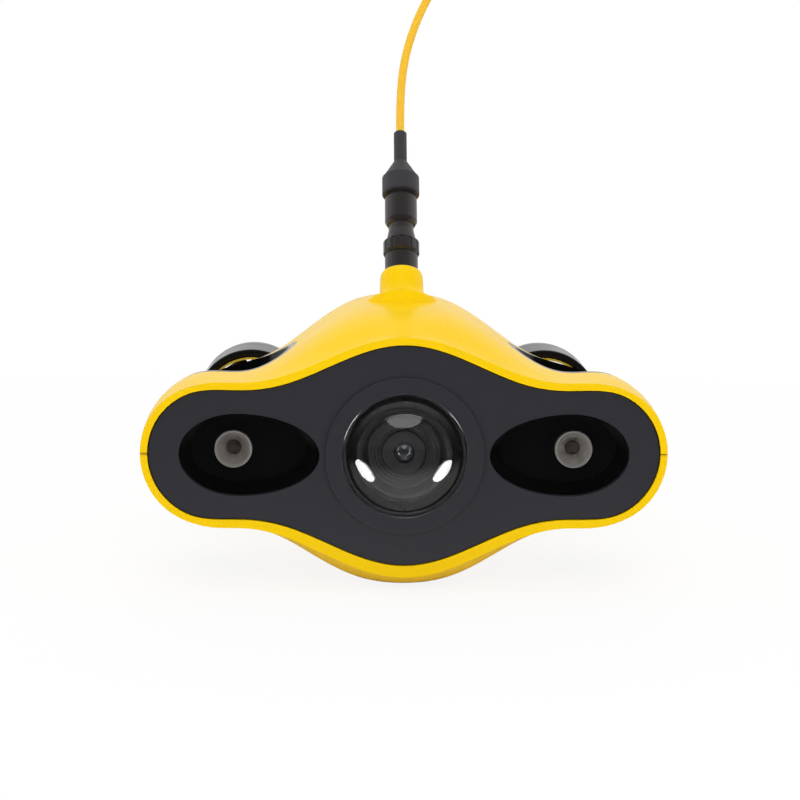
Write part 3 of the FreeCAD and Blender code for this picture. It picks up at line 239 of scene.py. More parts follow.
def mould_grain() -> bpy.types.NodeTree:
    """Build fine spark-eroded grain over a slow orange peel, with a slow tone.

    Returns:
        The node group.
    """
    fine_share, tone_scale = 0.35, 14.0
    takes = {"Vector": ("vector", None), "Grain": ("value", 2600.0), "Peel": ("value", 240.0)}
    sheet, at, out, new = effect("mould_grain", takes, {"Height": "value", "Tone": "value"})
    if new:
        grain = sheet.noise(at["Vector"], at["Grain"], 2.0)
        peel = sheet.noise(at["Vector"], at["Peel"], 1.0)
        fine = sheet.math("MULTIPLY", grain, fine_share)
        height = sheet.math("MULTIPLY_ADD", peel, 1.0 - fine_share)
        sheet.feed(height.node.inputs[2], fine)
        tone = sheet.noise(at["Vector"], tone_scale, 3.0)
        sheet.feed(out["Height"], height)
        sheet.feed(out["Tone"], tone)
    return sheet.tree


def hairlines() -> bpy.types.NodeTree:
    """Build sparse handling scratches in two directions.

    Returns:
        The node group, whose output is a mask.
    """
    runs = ((0.5, (900.0, 26.0, 60.0)), (-0.9, (40.0, 1100.0, 50.0)))
    tilt, line_edge, patch_scale, patch_edge = 0.3, (0.66, 0.74), 21.0, (0.5, 0.72)
    takes = {"Vector": ("vector", None), "Share": ("value", 0.25)}
    sheet, at, out, new = effect("hairlines", takes, {"Mask": "value"})
    if new:
        masks = []
        for turn, stretch in runs:
            laid = sheet.node(
                "ShaderNodeMapping",
                {"Vector": at["Vector"], "Rotation": (turn, tilt, turn), "Scale": stretch},
            )
            line = sheet.noise(laid.outputs[0], 1.0, 1.0)
            masks.append(sheet.between(line, *line_edge))
        patches = sheet.between(sheet.noise(at["Vector"], patch_scale), *patch_edge)
        both = sheet.math("MAXIMUM", masks[0], masks[1])
        spread = sheet.math("MULTIPLY", both, patches)
        sheet.feed(out["Mask"], sheet.math("MULTIPLY", spread, at["Share"]))
    return sheet.tree


def tone_shift() -> bpy.types.NodeTree:
    """Build a shift of a colour towards a shade, by a slow tone.

    Returns:
        The node group.
    """
    tone_edge = (0.3, 0.7)
    takes = {
        "Colour": ("colour", (0.5, 0.5, 0.5, 1.0)),
        "Shade": ("colour", (0.3, 0.3, 0.3, 1.0)),
        "Tone": ("value", 0.5),
        "Amount": ("value", 0.2),
    }
    sheet, at, out, new = effect("tone_shift", takes, {"Colour": "colour"})
    if new:
        share = sheet.math("MULTIPLY", sheet.between(at["Tone"], *tone_edge), at["Amount"])
        sheet.feed(out["Colour"], sheet.mix(share, at["Colour"], at["Shade"]))
    return sheet.tree


def turned_rings() -> bpy.types.NodeTree:
    """Build the concentric tool marks of a turned or drawn piece.

    Returns:
        The node group, whose output is a height.
    """
    wander, detail = 1.4, 2.0
    takes = {"Vector": ("vector", None), "Pitch": ("value", 900.0)}
    sheet, at, out, new = effect("turned_rings", takes, {"Height": "value"})
    if new:
        rings = sheet.node(
            "ShaderNodeTexWave",
            {"Vector": at["Vector"], "Scale": at["Pitch"], "Distortion": wander, "Detail": detail},
            wave_type="RINGS",
            rings_direction="Y",
        )
        sheet.feed(out["Height"], rings.outputs["Fac"])
    return sheet.tree


# -------------------- finishes
@dataclass(frozen=True)
class Finish:
    """One surface: its constants, and the nodes that vary them over the piece."""

    name: str
    colour: Rgb
    shade: Rgb
    roughness: float
    spread: float = 0.08
    metallic: float = 0.0
    coat: float = 0.0
    coat_roughness: float = 0.05
    specular: float = 0.5
    grain: float = 2600.0
    peel: float = 240.0
    depth: float = 0.05
    lift: float = 0.0004
    tone: float = 0.35
    scratches: float = 0.15

    def material(self) -> bpy.types.Material:
        """Build the material the first time it is asked for.

        Returns:
            The material of this finish.
        """
        found = bpy.data.materials.get(self.name)
        if found is not None:
            return found
        made = bpy.data.materials.new(self.name)
        made.use_nodes = True
        made.node_tree.nodes.clear()
        made.diffuse_color = (*self.colour, 1.0)
        sheet = Sheet(made.node_tree)
        shader = sheet.node("ShaderNodeBsdfPrincipled")
        target = sheet.node("ShaderNodeOutputMaterial")
        sheet.feed(target.inputs["Surface"], shader.outputs[0])
        place = sheet.node("ShaderNodeTexCoord").outputs["Object"]
        self.constants(shader)
        self.surface(sheet, shader, place)
        return made

    def constants(self, shader: bpy.types.Node) -> None:
        """Set what is the same all over the surface.

        Args:
            shader: The Principled shader.
        """
        for name, value in (
            ("Metallic", self.metallic),
            ("Coat Weight", self.coat),
            ("Coat Roughness", self.coat_roughness),
            ("Specular IOR Level", self.specular),
        ):
            shader.inputs[name].default_value = value

    def surface(self, sheet: Sheet, shader: bpy.types.Node, place: Socket) -> None:
        """Lay the colour, roughness and relief over the piece.

        Args:
            sheet: The material's sheet.
            shader: Its Principled shader.
            place: Object coordinates.
        """
        grain = self.use(
            sheet, mould_grain(), {"Vector": place, "Grain": self.grain, "Peel": self.peel}
        )
        lines = self.use(sheet, hairlines(), {"Vector": place, "Share": self.scratches})
        tones = {"Colour": self.colour, "Shade": self.shade, "Tone": grain["Tone"]}
        colour = self.use(sheet, tone_shift(), {**tones, "Amount": self.tone})
        sheet.feed(shader.inputs["Base Color"], self.paint(sheet, colour["Colour"], place))
        rough = sheet.math("MULTIPLY_ADD", grain["Tone"], self.spread)
        sheet.feed(rough.node.inputs[2], self.roughness - self.spread / 2)
        sheet.feed(shader.inputs["Roughness"], sheet.math("ADD", rough, lines["Mask"]))
        relief = self.relief(sheet, grain["Height"], place)
        bump = sheet.node(
            "ShaderNodeBump", {"Strength": self.depth, "Distance": self.lift, "Height": relief}
        )
        sheet.feed(shader.inputs["Normal"], bump.outputs[0])

    def paint(self, sheet: Sheet, colour: Socket, place: Socket) -> Socket:
        """Leave the colour as it is; finishes with a pattern of their own change it.

        Args:
            sheet: The material's sheet.
            colour: Colour from the shared effects.
            place: Object coordinates.

        Returns:
            The colour over the surface.
        """
        return colour

    def relief(self, sheet: Sheet, height: Socket, place: Socket) -> Socket:
        """Leave the height as it is; finishes with a relief of their own change it.

        Args:
            sheet: The material's sheet.
            height: Height from the shared effects.
            place: Object coordinates.

        Returns:
            The height over the surface.
        """
        return height

    @staticmethod
    def use(sheet: Sheet, tree: bpy.types.NodeTree, values: dict) -> dict[str, Socket]:
        """Place a shared effect.

        Args:
            sheet: The material's sheet.
            tree: The effect's node group.
            values: Its inputs by name.

        Returns:
            Its outputs by name.
        """
        made = sheet.node("ShaderNodeGroup", node_tree=tree)
        for name, value in values.items():
            sheet.feed(made.inputs[name], value)
        return {s.name: s for s in made.outputs}


@dataclass(frozen=True)
class ShellFinish(Finish):
    """Satin moulded shell with a faint dirt line along its parting plane."""

    seam_height: float = 49.6 * MM
    seam_core: float = 0.2 * MM
    seam_reach: float = 1.1 * MM
    seam_colour: Rgb = (0.30, 0.17, 0.01)
    seam_share: float = 0.45
    patch_scale: float = 90.0
    patch_edge: tuple[float, float] = (0.35, 0.75)

    def paint(self, sheet: Sheet, colour: Socket, place: Socket) -> Socket:
        """Darken the colour a little beside the parting plane.

        Args:
            sheet: The material's sheet.
            colour: Colour from the shared effects.
            place: Object coordinates.

        Returns:
            The colour with its dirt line.
        """
        height = sheet.node("ShaderNodeSeparateXYZ", {0: place}).outputs["Z"]
        away = sheet.math("ABSOLUTE", sheet.math("SUBTRACT", height, self.seam_height))
        near = sheet.math("SUBTRACT", 1.0, sheet.between(away, self.seam_core, self.seam_reach))
        patches = sheet.between(sheet.noise(place, self.patch_scale, 3.0), *self.patch_edge)
        share = sheet.math("MULTIPLY", sheet.math("MULTIPLY", near, patches), self.seam_share)
        return sheet.mix(share, colour, self.seam_colour)


@dataclass(frozen=True)
class TurnedFinish(Finish):
    """Metal with concentric tool marks."""

    pitch: float = 900.0
    marks: float = 0.5

    def relief(self, sheet: Sheet, height: Socket, place: Socket) -> Socket:
        """Add the tool marks to the grain.

        Args:
            sheet: The material's sheet.
            height: Height from the shared effects.
            place: Object coordinates.

        Returns:
            The height with its rings.
        """
        rings = self.use(sheet, turned_rings(), {"Vector": place, "Pitch": self.pitch})
        share = sheet.math("MULTIPLY", rings["Height"], self.marks)
        return sheet.math("ADD", height, share)


@dataclass(frozen=True)
class BoardFinish(Finish):
    """Solder mask over a rough grid of tracks and pads."""

    copper: Rgb = (0.55, 0.36, 0.12)
    track: Rgb = (0.035, 0.24, 0.10)
    pad_scale: float = 420.0
    pad_radius: float = 0.16
    track_scale: float = 160.0
    track_width: float = 0.03

    def paint(self, sheet: Sheet, colour: Socket, place: Socket) -> Socket:
        """Draw tracks and bare pads over the mask.

        Args:
            sheet: The material's sheet.
            colour: Colour from the shared effects.
            place: Object coordinates.

        Returns:
            The colour with tracks and pads.
        """
        values = {"Vector": place, "Scale": self.pad_scale}
        cells = sheet.node("ShaderNodeTexVoronoi", values, distance="CHEBYCHEV")
        lines = sheet.node(
            "ShaderNodeTexBrick",
            {"Vector": place, "Scale": self.track_scale, "Mortar Size": self.track_width},
        )
        tracked = sheet.mix(lines.outputs["Fac"], colour, self.track)
        pads = sheet.math("LESS_THAN", cells.outputs["Distance"], self.pad_radius)
        return sheet.mix(pads, tracked, self.copper)


@dataclass(frozen=True)
class JacketFinish(Finish):
    """Extruded tether jacket, a little translucent."""

    weight: float = 0.12
    radius: float = 0.8 * MM
    reach: Rgb = (1.0, 0.6, 0.2)

    def constants(self, shader: bpy.types.Node) -> None:
        """Set what is the same all over, and let a little light in.

        Args:
            shader: The Principled shader.
        """
        super().constants(shader)
        shader.inputs["Subsurface Weight"].default_value = self.weight
        shader.inputs["Subsurface Scale"].default_value = self.radius
        shader.inputs["Subsurface Radius"].default_value = self.reach


@dataclass(frozen=True)
class ClearFinish(Finish):
    """Polished clear plastic or glass."""

    ior: float = 1.49
    tint_scale: float = 55.0
    tint_edge: tuple[float, float] = (0.45, 0.8)

    def constants(self, shader: bpy.types.Node) -> None:
        """Set what is the same all over, and let the light through.

        Args:
            shader: The Principled shader.
        """
        super().constants(shader)
        shader.inputs["IOR"].default_value = self.ior
        shader.inputs["Transmission Weight"].default_value = 1.0

    def surface(self, sheet: Sheet, shader: bpy.types.Node, place: Socket) -> None:
        """Keep the piece clear but for a trace of tint and wipe marks.

        Args:
            sheet: The material's sheet.
            shader: Its Principled shader.
            place: Object coordinates.
        """
        lines = self.use(sheet, hairlines(), {"Vector": place, "Share": self.scratches})
        tint = sheet.between(sheet.noise(place, self.tint_scale, 3.0), *self.tint_edge)
        sheet.feed(shader.inputs["Roughness"], sheet.math("ADD", lines["Mask"], self.roughness))
        sheet.feed(shader.inputs["Base Color"], sheet.mix(tint, self.colour, self.shade))


@dataclass(frozen=True)
class GlowFinish(Finish):
    """Light emitter: a phosphor pad that is switched off."""

    cell: float = 5200.0

    def paint(self, sheet: Sheet, colour: Socket, place: Socket) -> Socket:
        """Speckle the phosphor.

        Args:
            sheet: The material's sheet.
            colour: Colour from the shared effects.
            place: Object coordinates.

        Returns:
            The speckled colour.
        """
        return sheet.mix(sheet.noise(place, self.cell, 1.0), colour, self.shade)


SHELL = ShellFinish(
    "satin_yellow_shell", (0.98, 0.64, 0.0), (0.94, 0.57, 0.0),
    roughness=0.26, spread=0.06, specular=0.14, depth=0.10, scratches=0.05,
)
FACE = Finish(
    "charcoal_face", (0.029, 0.029, 0.037), (0.024, 0.024, 0.031),
    roughness=0.42, grain=3200.0, depth=0.16, scratches=0.12, specular=0.42,
)
GLOSS = Finish(
    "gloss_black_moulding", (0.004, 0.004, 0.0045), (0.006, 0.006, 0.0065),
    roughness=0.10, spread=0.05, specular=0.45, depth=0.03, scratches=0.10,
)
NOZZLE = Finish(
    "nozzle_black", (0.005, 0.005, 0.006), (0.008, 0.008, 0.009),
    roughness=0.14, spread=0.06, specular=0.08, depth=0.06, scratches=0.15,
)
REFLECTOR = TurnedFinish(
    "satin_reflector", (0.72, 0.69, 0.66), (0.60, 0.58, 0.56),
    roughness=0.50, metallic=0.8, depth=0.06, pitch=700.0, scratches=0.1,
)
COVER = ClearFinish(
    "led_cover_silicone", (0.97, 0.96, 0.94), (0.94, 0.93, 0.91),
    roughness=0.02, ior=1.35, scratches=0.02,
)
PROP = Finish(
    "propeller_black", (0.012, 0.012, 0.013), (0.018, 0.018, 0.019),
    roughness=0.34, depth=0.10, scratches=0.2,
)
SATIN = Finish(
    "satin_black_housing", (0.018, 0.018, 0.020), (0.026, 0.026, 0.028),
    roughness=0.38, depth=0.12, scratches=0.18,
)
CONNECTOR = Finish(
    "connector_black", (0.020, 0.017, 0.017), (0.030, 0.026, 0.026),
    roughness=0.30, depth=0.10, scratches=0.2, coat=0.1, coat_roughness=0.2,
)
RUBBER = Finish(
    "moulded_rubber_grey", (0.036, 0.034, 0.040), (0.050, 0.048, 0.054),
    roughness=0.52, spread=0.14, depth=0.30, grain=4200.0, scratches=0.1, specular=0.4,
)
JACKET = JacketFinish(
    "tether_yellow", (0.95, 0.56, 0.030), (0.90, 0.48, 0.018),
    roughness=0.40, depth=0.15, peel=420.0, scratches=0.05,
)
BRIGHT = TurnedFinish(
    "bright_turned_metal", (0.60, 0.585, 0.57), (0.50, 0.49, 0.48),
    roughness=0.26, metallic=1.0, depth=0.12, pitch=700.0, scratches=0.2,
)
ANODISED = TurnedFinish(
    "anodised_hull", (0.12, 0.125, 0.135), (0.16, 0.165, 0.175),
    roughness=0.38, metallic=0.9, depth=0.12, pitch=500.0, scratches=0.2,
)
STEEL = TurnedFinish(
    "stainless_steel", (0.56, 0.56, 0.57), (0.42, 0.42, 0.43),
    roughness=0.30, metallic=1.0, depth=0.14, pitch=1200.0, scratches=0.3,
)
ROTOR = TurnedFinish(
    "coated_rotor", (0.10, 0.10, 0.11), (0.15, 0.15, 0.16),
    roughness=0.34, metallic=0.85, depth=0.12, pitch=1100.0, scratches=0.2,
)
BOARD = BoardFinish(
    "solder_mask", (0.018, 0.13, 0.055), (0.014, 0.10, 0.045), roughness=0.35, depth=0.2,
)
SLEEVE = Finish(
    "shrink_sleeve", (0.02, 0.06, 0.26), (0.03, 0.08, 0.32), roughness=0.30, depth=0.25,
    peel=130.0,
)
CLEAR = ClearFinish(
    "clear_acrylic", WHITE, (0.985, 0.99, 0.99), roughness=0.0, scratches=0.02,
)
LENS_GLASS = ClearFinish(
    "coated_lens_glass", (0.80, 0.86, 0.95), (0.74, 0.80, 0.92),
    roughness=0.0, ior=1.60, scratches=0.0,
)
PHOSPHOR = GlowFinish(
    "led_phosphor", (0.20, 0.17, 0.13), (0.15, 0.12, 0.09), roughness=0.55, depth=0.2,
)
CERAMIC = Finish(
    "led_ceramic", (0.16, 0.12, 0.10), (0.12, 0.09, 0.08), roughness=0.45, depth=0.15,
)


# -------------------- modelling bench
class Bench:
    """Models new pieces with Blender's own operators."""

    @staticmethod
    def start(kind: str, name: str, **sizes: object) -> Piece:
        """Add a primitive without a UV map and name it.

        Args:
            kind: Name of the primitive, such as cylinder.
            name: Name of the new piece.
            sizes: Size and place of the primitive, in metres.

        Returns:
            The new object, the only one selected.
        """
        bpy.ops.object.select_all(action="DESELECT")
        getattr(bpy.ops.mesh, f"primitive_{kind}_add")(calc_uvs=False, **sizes)
        made = bpy.context.active_object
        made.name = made.data.name = name
        return made

    @staticmethod
    @contextmanager
    def editing(piece: Piece, mode: str = "FACE") -> Iterator[None]:
        """Edit mode on one piece with nothing selected.

        Args:
            piece: The piece to edit.
            mode: VERT, EDGE or FACE.

        Yields:
            Nothing.
        """
        bpy.ops.object.select_all(action="DESELECT")
        piece.select_set(True)
        bpy.context.view_layer.objects.active = piece
        bpy.ops.object.mode_set(mode="EDIT")
        bpy.ops.mesh.select_mode(type=mode)
        bpy.ops.mesh.select_all(action="DESELECT")
        yield
        bpy.ops.object.mode_set(mode="OBJECT")

    @staticmethod
    def pick(piece: Piece, kind: str, test: Callable[[Vector, Vector], bool]) -> None:
        """Select faces or edges by their middle and normal, in edit mode.

        Args:
            piece: The piece in edit mode.
            kind: faces or edges.
            test: Says whether an element with this middle and normal is meant.
        """
        bpy.ops.mesh.select_all(action="DESELECT")
        mesh = bmesh.from_edit_mesh(piece.data)
        for part in getattr(mesh, kind):
            middle = sum((v.co for v in part.verts), Vector()) / len(part.verts)
            around = sum((v.normal for v in part.verts), Vector())
            facing = part.normal if kind == "faces" else around
            if test(piece.matrix_world @ middle, facing):
                part.select_set(True)
        mesh.select_flush_mode()
        bmesh.update_edit_mesh(piece.data)

    @staticmethod
    def settle(piece: Piece, angle: float = 30.0) -> Piece:
        """Put a finished piece's place in its mesh and shade it.

        Args:
            piece: The finished piece.
            angle: Edges sharper than this stay sharp, in degrees.

        Returns:
            The same piece, at the origin.
        """
        bpy.ops.object.select_all(action="DESELECT")
        piece.select_set(True)
        bpy.context.view_layer.objects.active = piece
        bpy.ops.object.transform_apply(location=True, rotation=True, scale=True)
        bpy.ops.object.mode_set(mode="EDIT")
        bpy.ops.mesh.select_all(action="SELECT")
        bpy.ops.mesh.remove_doubles(threshold=WELD)
        bpy.ops.mesh.normals_make_consistent(inside=False)
        bpy.ops.object.mode_set(mode="OBJECT")
        bpy.ops.object.shade_smooth_by_angle(angle=math.radians(angle))
        return piece

    @staticmethod
    def apply(piece: Piece, kind: str, **settings: object) -> None:
        """Add a modifier and apply it.

        Args:
            piece: The piece that gets it.
            kind: Blender's modifier type.
            settings: Its settings.
        """
        bpy.ops.object.select_all(action="DESELECT")
        piece.select_set(True)
        bpy.context.view_layer.objects.active = piece
        made = piece.modifiers.new(kind.lower(), kind)
        for name, value in settings.items():
            setattr(made, name, value)
        bpy.ops.object.modifier_apply(modifier=made.name)

    @staticmethod
    def copy(piece: Piece, name: str, matrix: Matrix) -> Piece:
        """Copy a finished piece to another place, with a mesh of its own.

        Args:
            piece: The piece to copy.
            name: Name of the copy.
            matrix: Move from the first place to the new one.

        Returns:
            The copy, at the origin.
        """
        made = bpy.data.objects.new(name, piece.data.copy())
        made.data.name = name
        bpy.context.scene.collection.objects.link(made)
        made.data.transform(matrix)
        return made

    @staticmethod
    def join(pieces: Sequence[Piece], name: str) -> Piece:
        """Join pieces into the first one and name it.

        Args:
            pieces: The pieces to join.
            name: Name of the joined piece.

        Returns:
            The joined piece.
        """
        bpy.ops.object.select_all(action="DESELECT")
        for piece in pieces:
            piece.select_set(True)
        bpy.context.view_layer.objects.active = pieces[0]
        bpy.ops.object.join()
        pieces[0].name = pieces[0].data.name = name
        return pieces[0]


def dress(finish: Finish, *nodes: str) -> None:
    """Give CAD nodes their finish.

    Args:
        finish: The finish that all of each node has.
        nodes: Names of the nodes.
    """
    for node in nodes:
        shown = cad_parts[node]
        for slot in shown.material_slots:
            slot.material = finish.material()
        if not shown.material_slots:
            shown.data.materials.append(finish.material())
        LOG.info("%s dressed in %s", node, finish.name)


def add_piece(piece: Piece, body: str, slot: Slot, *finishes: Finish) -> None:
    """Dress a new piece and hang it on a CAD body.

    Args:
        piece: The finished piece.
        body: Name of the body that it moves with.
        slot: Material slot named for the piece; not used.
        finishes: One finish for each material index of its mesh.
    """
    piece.data.materials.clear()
    for finish in finishes:
        piece.data.materials.append(finish.material())
    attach(piece, body)
    LOG.info("%s rides on %s", piece.name, body)


def middle_of(node: str) -> Vector:
    """Find the middle of a CAD node's box.

    Args:
        node: Name of the node.

    Returns:
        The middle, in metres.
    """
    low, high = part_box(node)
    return (Vector(low) + Vector(high)) / 2


# -------------------- sub-assemblies
class BodyShells:
    """The two moulded shells, the face plate, the screws, ballast and foot pads."""

    def build(self) -> None:
        """Dress the CAD pieces and add the foot pads' treads."""
        dress(SHELL, "upper_shell", "lower_shell")
        dress(FACE, "face_plate")
        dress(STEEL, "shell_screws", "ballast_bars")
        FootTreads().build()


@dataclass
class LightPod:
    """One light: cup, reflector, board, emitter and cover."""

    side: Side
    pad: float = 2.9 * MM
    rise: float = 0.35 * MM
    rim: float = 0.45 * MM
    ledge: float = 0.05 * MM
    recess: float = 0.12 * MM
    rounding: float = 0.08 * MM

    def build(self) -> None:
        """Dress the CAD pieces and add the emitter."""
        word = self.side.word
        dress(GLOSS, f"{word}_light_cup")
        dress(REFLECTOR, f"{word}_reflector")
        dress(CERAMIC, f"{word}_led_board")
        dress(COVER, f"{word}_led_lens")
        self.emitter()

    def emitter(self) -> None:
        """Model the square emitter with its phosphor pad on the board."""
        board = f"{self.side.word}_led_board"
        low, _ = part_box(board)
        chip = middle_of(board)
        piece = Bench.start("cube", f"{self.side.word}_led_emitter", size=1.0)
        piece.scale = (self.pad, self.rise, self.pad)
        piece.location = (chip.x, low[1] - self.rise / 2, chip.z)
        bpy.ops.object.transform_apply(location=True, rotation=True, scale=True)
        with Bench.editing(piece):
            Bench.pick(piece, "faces", lambda at, facing: facing.y < -SQUARE)
            bpy.ops.mesh.inset(thickness=self.rim, depth=0.0)
            bpy.ops.mesh.inset(thickness=self.ledge, depth=self.recess)
        Bench.apply(piece, "BEVEL", width=self.rounding, segments=2, limit_method="ANGLE")
        Bench.settle(piece)
        least = (self.pad - 2 * self.rim) ** 2 / 2
        for face in piece.data.polygons:
            face.material_index = int(face.normal.y < -SQUARE and face.area > least)
        add_piece(piece, "hull", Slot.BOARD, CERAMIC, PHOSPHOR)


@dataclass
class CameraPort:
    """Clear window, notched ring, hood, lens and what stands between them."""

    steps: int = 4
    outer: float = 12.7 * MM
    inner: float = 7.9 * MM
    height: float = 2.2 * MM
    drop: float = 0.4 * MM
    slope: float = 0.12 * MM
    floor: float = 1.5 * MM
    rounding: float = 0.05 * MM

    def build(self) -> None:
        """Dress the CAD pieces and add the stepped baffle."""
        dress(CLEAR, "camera_window")
        dress(GLOSS, "notch_ring")
        dress(SATIN, "camera_hood", "camera_module")
        dress(LENS_GLASS, "camera_lens")
        dress(RUBBER, "window_o_ring")
        self.baffle()

    def baffle(self) -> None:
        """Model the stepped ring that keeps stray light off the lens."""
        middle = middle_of("camera_hood")
        _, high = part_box("camera_hood")
        back = high[1] - self.floor
        piece = Bench.start(
            "cylinder", "lens_baffle", vertices=96, radius=self.outer, depth=self.height,
            location=(middle.x, back - self.height / 2, middle.z), rotation=(UPRIGHT, 0.0, 0.0),
        )
        bpy.ops.object.transform_apply(location=True, rotation=True, scale=True)
        land = (self.outer - self.inner) / self.steps - self.slope
        on_axis = lambda at: math.hypot(at.x - middle.x, at.z - middle.z) < self.slope
        with Bench.editing(piece):
            Bench.pick(piece, "faces", lambda at, facing: facing.y < -SQUARE)
            for _ in range(self.steps):
                bpy.ops.mesh.inset(thickness=land, depth=0.0)
                bpy.ops.mesh.inset(thickness=self.slope, depth=-self.drop)
            Bench.pick(piece, "faces", lambda at, facing: facing.y > SQUARE)
            bpy.ops.mesh.inset(thickness=self.outer - self.inner, depth=0.0)
            Bench.pick(piece, "faces", lambda at, facing: abs(facing.y) > SQUARE and on_axis(at))
            bpy.ops.mesh.bridge_edge_loops()
        Bench.apply(piece, "BEVEL", width=self.rounding, segments=2, limit_method="ANGLE")
        Bench.settle(piece)
        add_piece(piece, "hull", Slot.SATIN, SATIN)


@dataclass
class Thruster:
    """One thruster: duct or nozzle, motor and propeller."""

    place: str
    flow: Flow

    @property
    def name(self) -> str:
        """Name that the thruster's nodes begin with."""
        return f"{self.place}_{self.flow.value}"

    @property
    def drive(self) -> str:
        """Body that the rotor and propeller belong to."""
        return f"{self.name}_drive"

    def hub_top(self) -> Matrix:
        """Find the way to the outer end of the hub.

        Returns:
            Move from the origin, with +Z up, to the hub's end.
        """
        at = middle_of(f"{self.name}_rotor")
        low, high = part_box(f"{self.name}_propeller")
        if self.flow is Flow.UP:
            return Matrix.Translation((at.x, at.y, high[2]))
        return Matrix.Translation((at.x, low[1], at.z)) @ Matrix.Rotation(UPRIGHT, 4, "X")

    def build(self) -> None:
        """Dress the CAD pieces."""
        if self.flow is Flow.UP:
            dress(GLOSS, f"{self.name}_liner")
        else:
            dress(NOZZLE, f"{self.place}_nozzle")
            dress(BRIGHT, f"{self.name}_trim_ring")
        dress(STEEL, f"{self.name}_stator")
        dress(ROTOR, f"{self.name}_rotor")
        dress(PROP, f"{self.name}_propeller")


@dataclass
class HubScrews:
    """Button-head screws that hold the propellers on their hubs."""

    thrusters: Sequence[Thruster]
    radius: float = 1.8 * MM
    height: float = 1.15 * MM
    socket: float = 0.95 * MM
    socket_depth: float = 0.7 * MM
    rounding: float = 0.55 * MM

    def screw(self) -> Piece:
        """Model one screw head at the origin, with its hexagon socket upwards.

        Returns:
            The screw head.
        """
        piece = Bench.start(
            "cylinder", "hub_screw", vertices=48, radius=self.radius, depth=self.height,
            location=(0.0, 0.0, self.height / 2),
        )
        bpy.ops.object.transform_apply(location=True, rotation=True, scale=True)
        with Bench.editing(piece, "EDGE"):
            Bench.pick(piece, "edges", lambda at, facing: at.z > self.height - self.rounding)
            bpy.ops.mesh.bevel(offset=self.rounding, segments=5, affect="EDGES")
        cutter = Bench.start(
            "cylinder", "hub_screw_socket", vertices=6, radius=self.socket, depth=self.height,
            location=(0.0, 0.0, self.height * 1.5 - self.socket_depth),
        )
        Bench.apply(piece, "BOOLEAN", operation="DIFFERENCE", object=cutter, solver="EXACT")
        bpy.data.objects.remove(cutter)
        return Bench.settle(piece)

    def build(self) -> None:
        """Put a copy of the screw on every hub."""
        first = self.screw()
        for thruster in self.thrusters:
            piece = Bench.copy(first, f"{thruster.name}_hub_screw", thruster.hub_top())
            add_piece(piece, thruster.drive, Slot.STEEL, STEEL)
        bpy.data.objects.remove(first)


@dataclass
class FootTreads:
    """Four rubber pads with moulded pockets, in place of the plain ones."""

    width: float = 6.0 * MM
    length: float = 40.0 * MM
    corner: float = 2.6 * MM
    pitch: float = 4.4 * MM
    rim: float = 0.7 * MM
    slope: float = 0.21 * MM
    depth: float = 0.6 * MM
    rounding: float = 0.12 * MM
    outside: float = 0.49  # share of the size that only an outer edge lies beyond

    def pad(self) -> Piece:
        """Model the pad nearest the bow on the left.

        Returns:
            The pad.
        """
        low, high = (Vector(corner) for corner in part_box("foot_pads"))
        size = Vector((self.width, self.length, high.z - low.z))
        centre = low + size / 2
        piece = Bench.start("cube", "foot_treads", size=1.0)
        piece.scale = size
        piece.location = centre
        bpy.ops.object.transform_apply(location=True, rotation=True, scale=True)
        cuts = int(self.length / self.pitch)
        reach = self.pitch * (cuts - 1) / 2

        def upright(at: Vector, facing: Vector) -> bool:
            away = at - centre
            return abs(away.x) > size.x * self.outside and abs(away.y) > size.y * self.outside

        def tread(at: Vector, facing: Vector) -> bool:
            return facing.z < -SQUARE and abs(at.y - centre.y) < reach

        with Bench.editing(piece, "EDGE"):
            Bench.pick(piece, "edges", upright)
            bpy.ops.mesh.bevel(offset=self.corner, segments=6, affect="EDGES")
            for index in range(cuts):
                cut = (0.0, centre.y - reach + self.pitch * index, 0.0)
                bpy.ops.mesh.select_all(action="SELECT")
                bpy.ops.mesh.bisect(plane_co=cut, plane_no=(0.0, 1.0, 0.0))
            bpy.ops.mesh.select_mode(type="FACE")
            Bench.pick(piece, "faces", tread)
            bpy.ops.mesh.inset(thickness=self.rim, depth=0.0, use_individual=True)
            bpy.ops.mesh.inset(thickness=self.slope, depth=-self.depth, use_individual=True)
        Bench.apply(piece, "BEVEL", width=self.rounding, segments=2, limit_method="ANGLE")
        return Bench.settle(piece)

    def build(self) -> None:
        """Model one pad, copy it to the other three places and join them."""
        low, high = (Vector(corner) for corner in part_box("foot_pads"))
        across = high.x - low.x - self.width
        along = high.y - low.y - self.length
        pads = [self.pad()]
        for step in ((across, 0.0, 0.0), (0.0, along, 0.0), (across, along, 0.0)):
            pads.append(Bench.copy(pads[0], "foot_tread", Matrix.Translation(step)))
        piece = Bench.join(pads, "foot_treads")
        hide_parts("foot_pads")
        add_piece(piece, "hull", Slot.RUBBER, RUBBER)


class Connector:
    """Socket on the crest, locking collar, plug and strain relief."""

    def build(self) -> None:
        """Dress the CAD pieces."""
        dress(CONNECTOR, "tether_socket", "locking_collar", "plug_body")
        dress(RUBBER, "strain_relief", "far_plug")


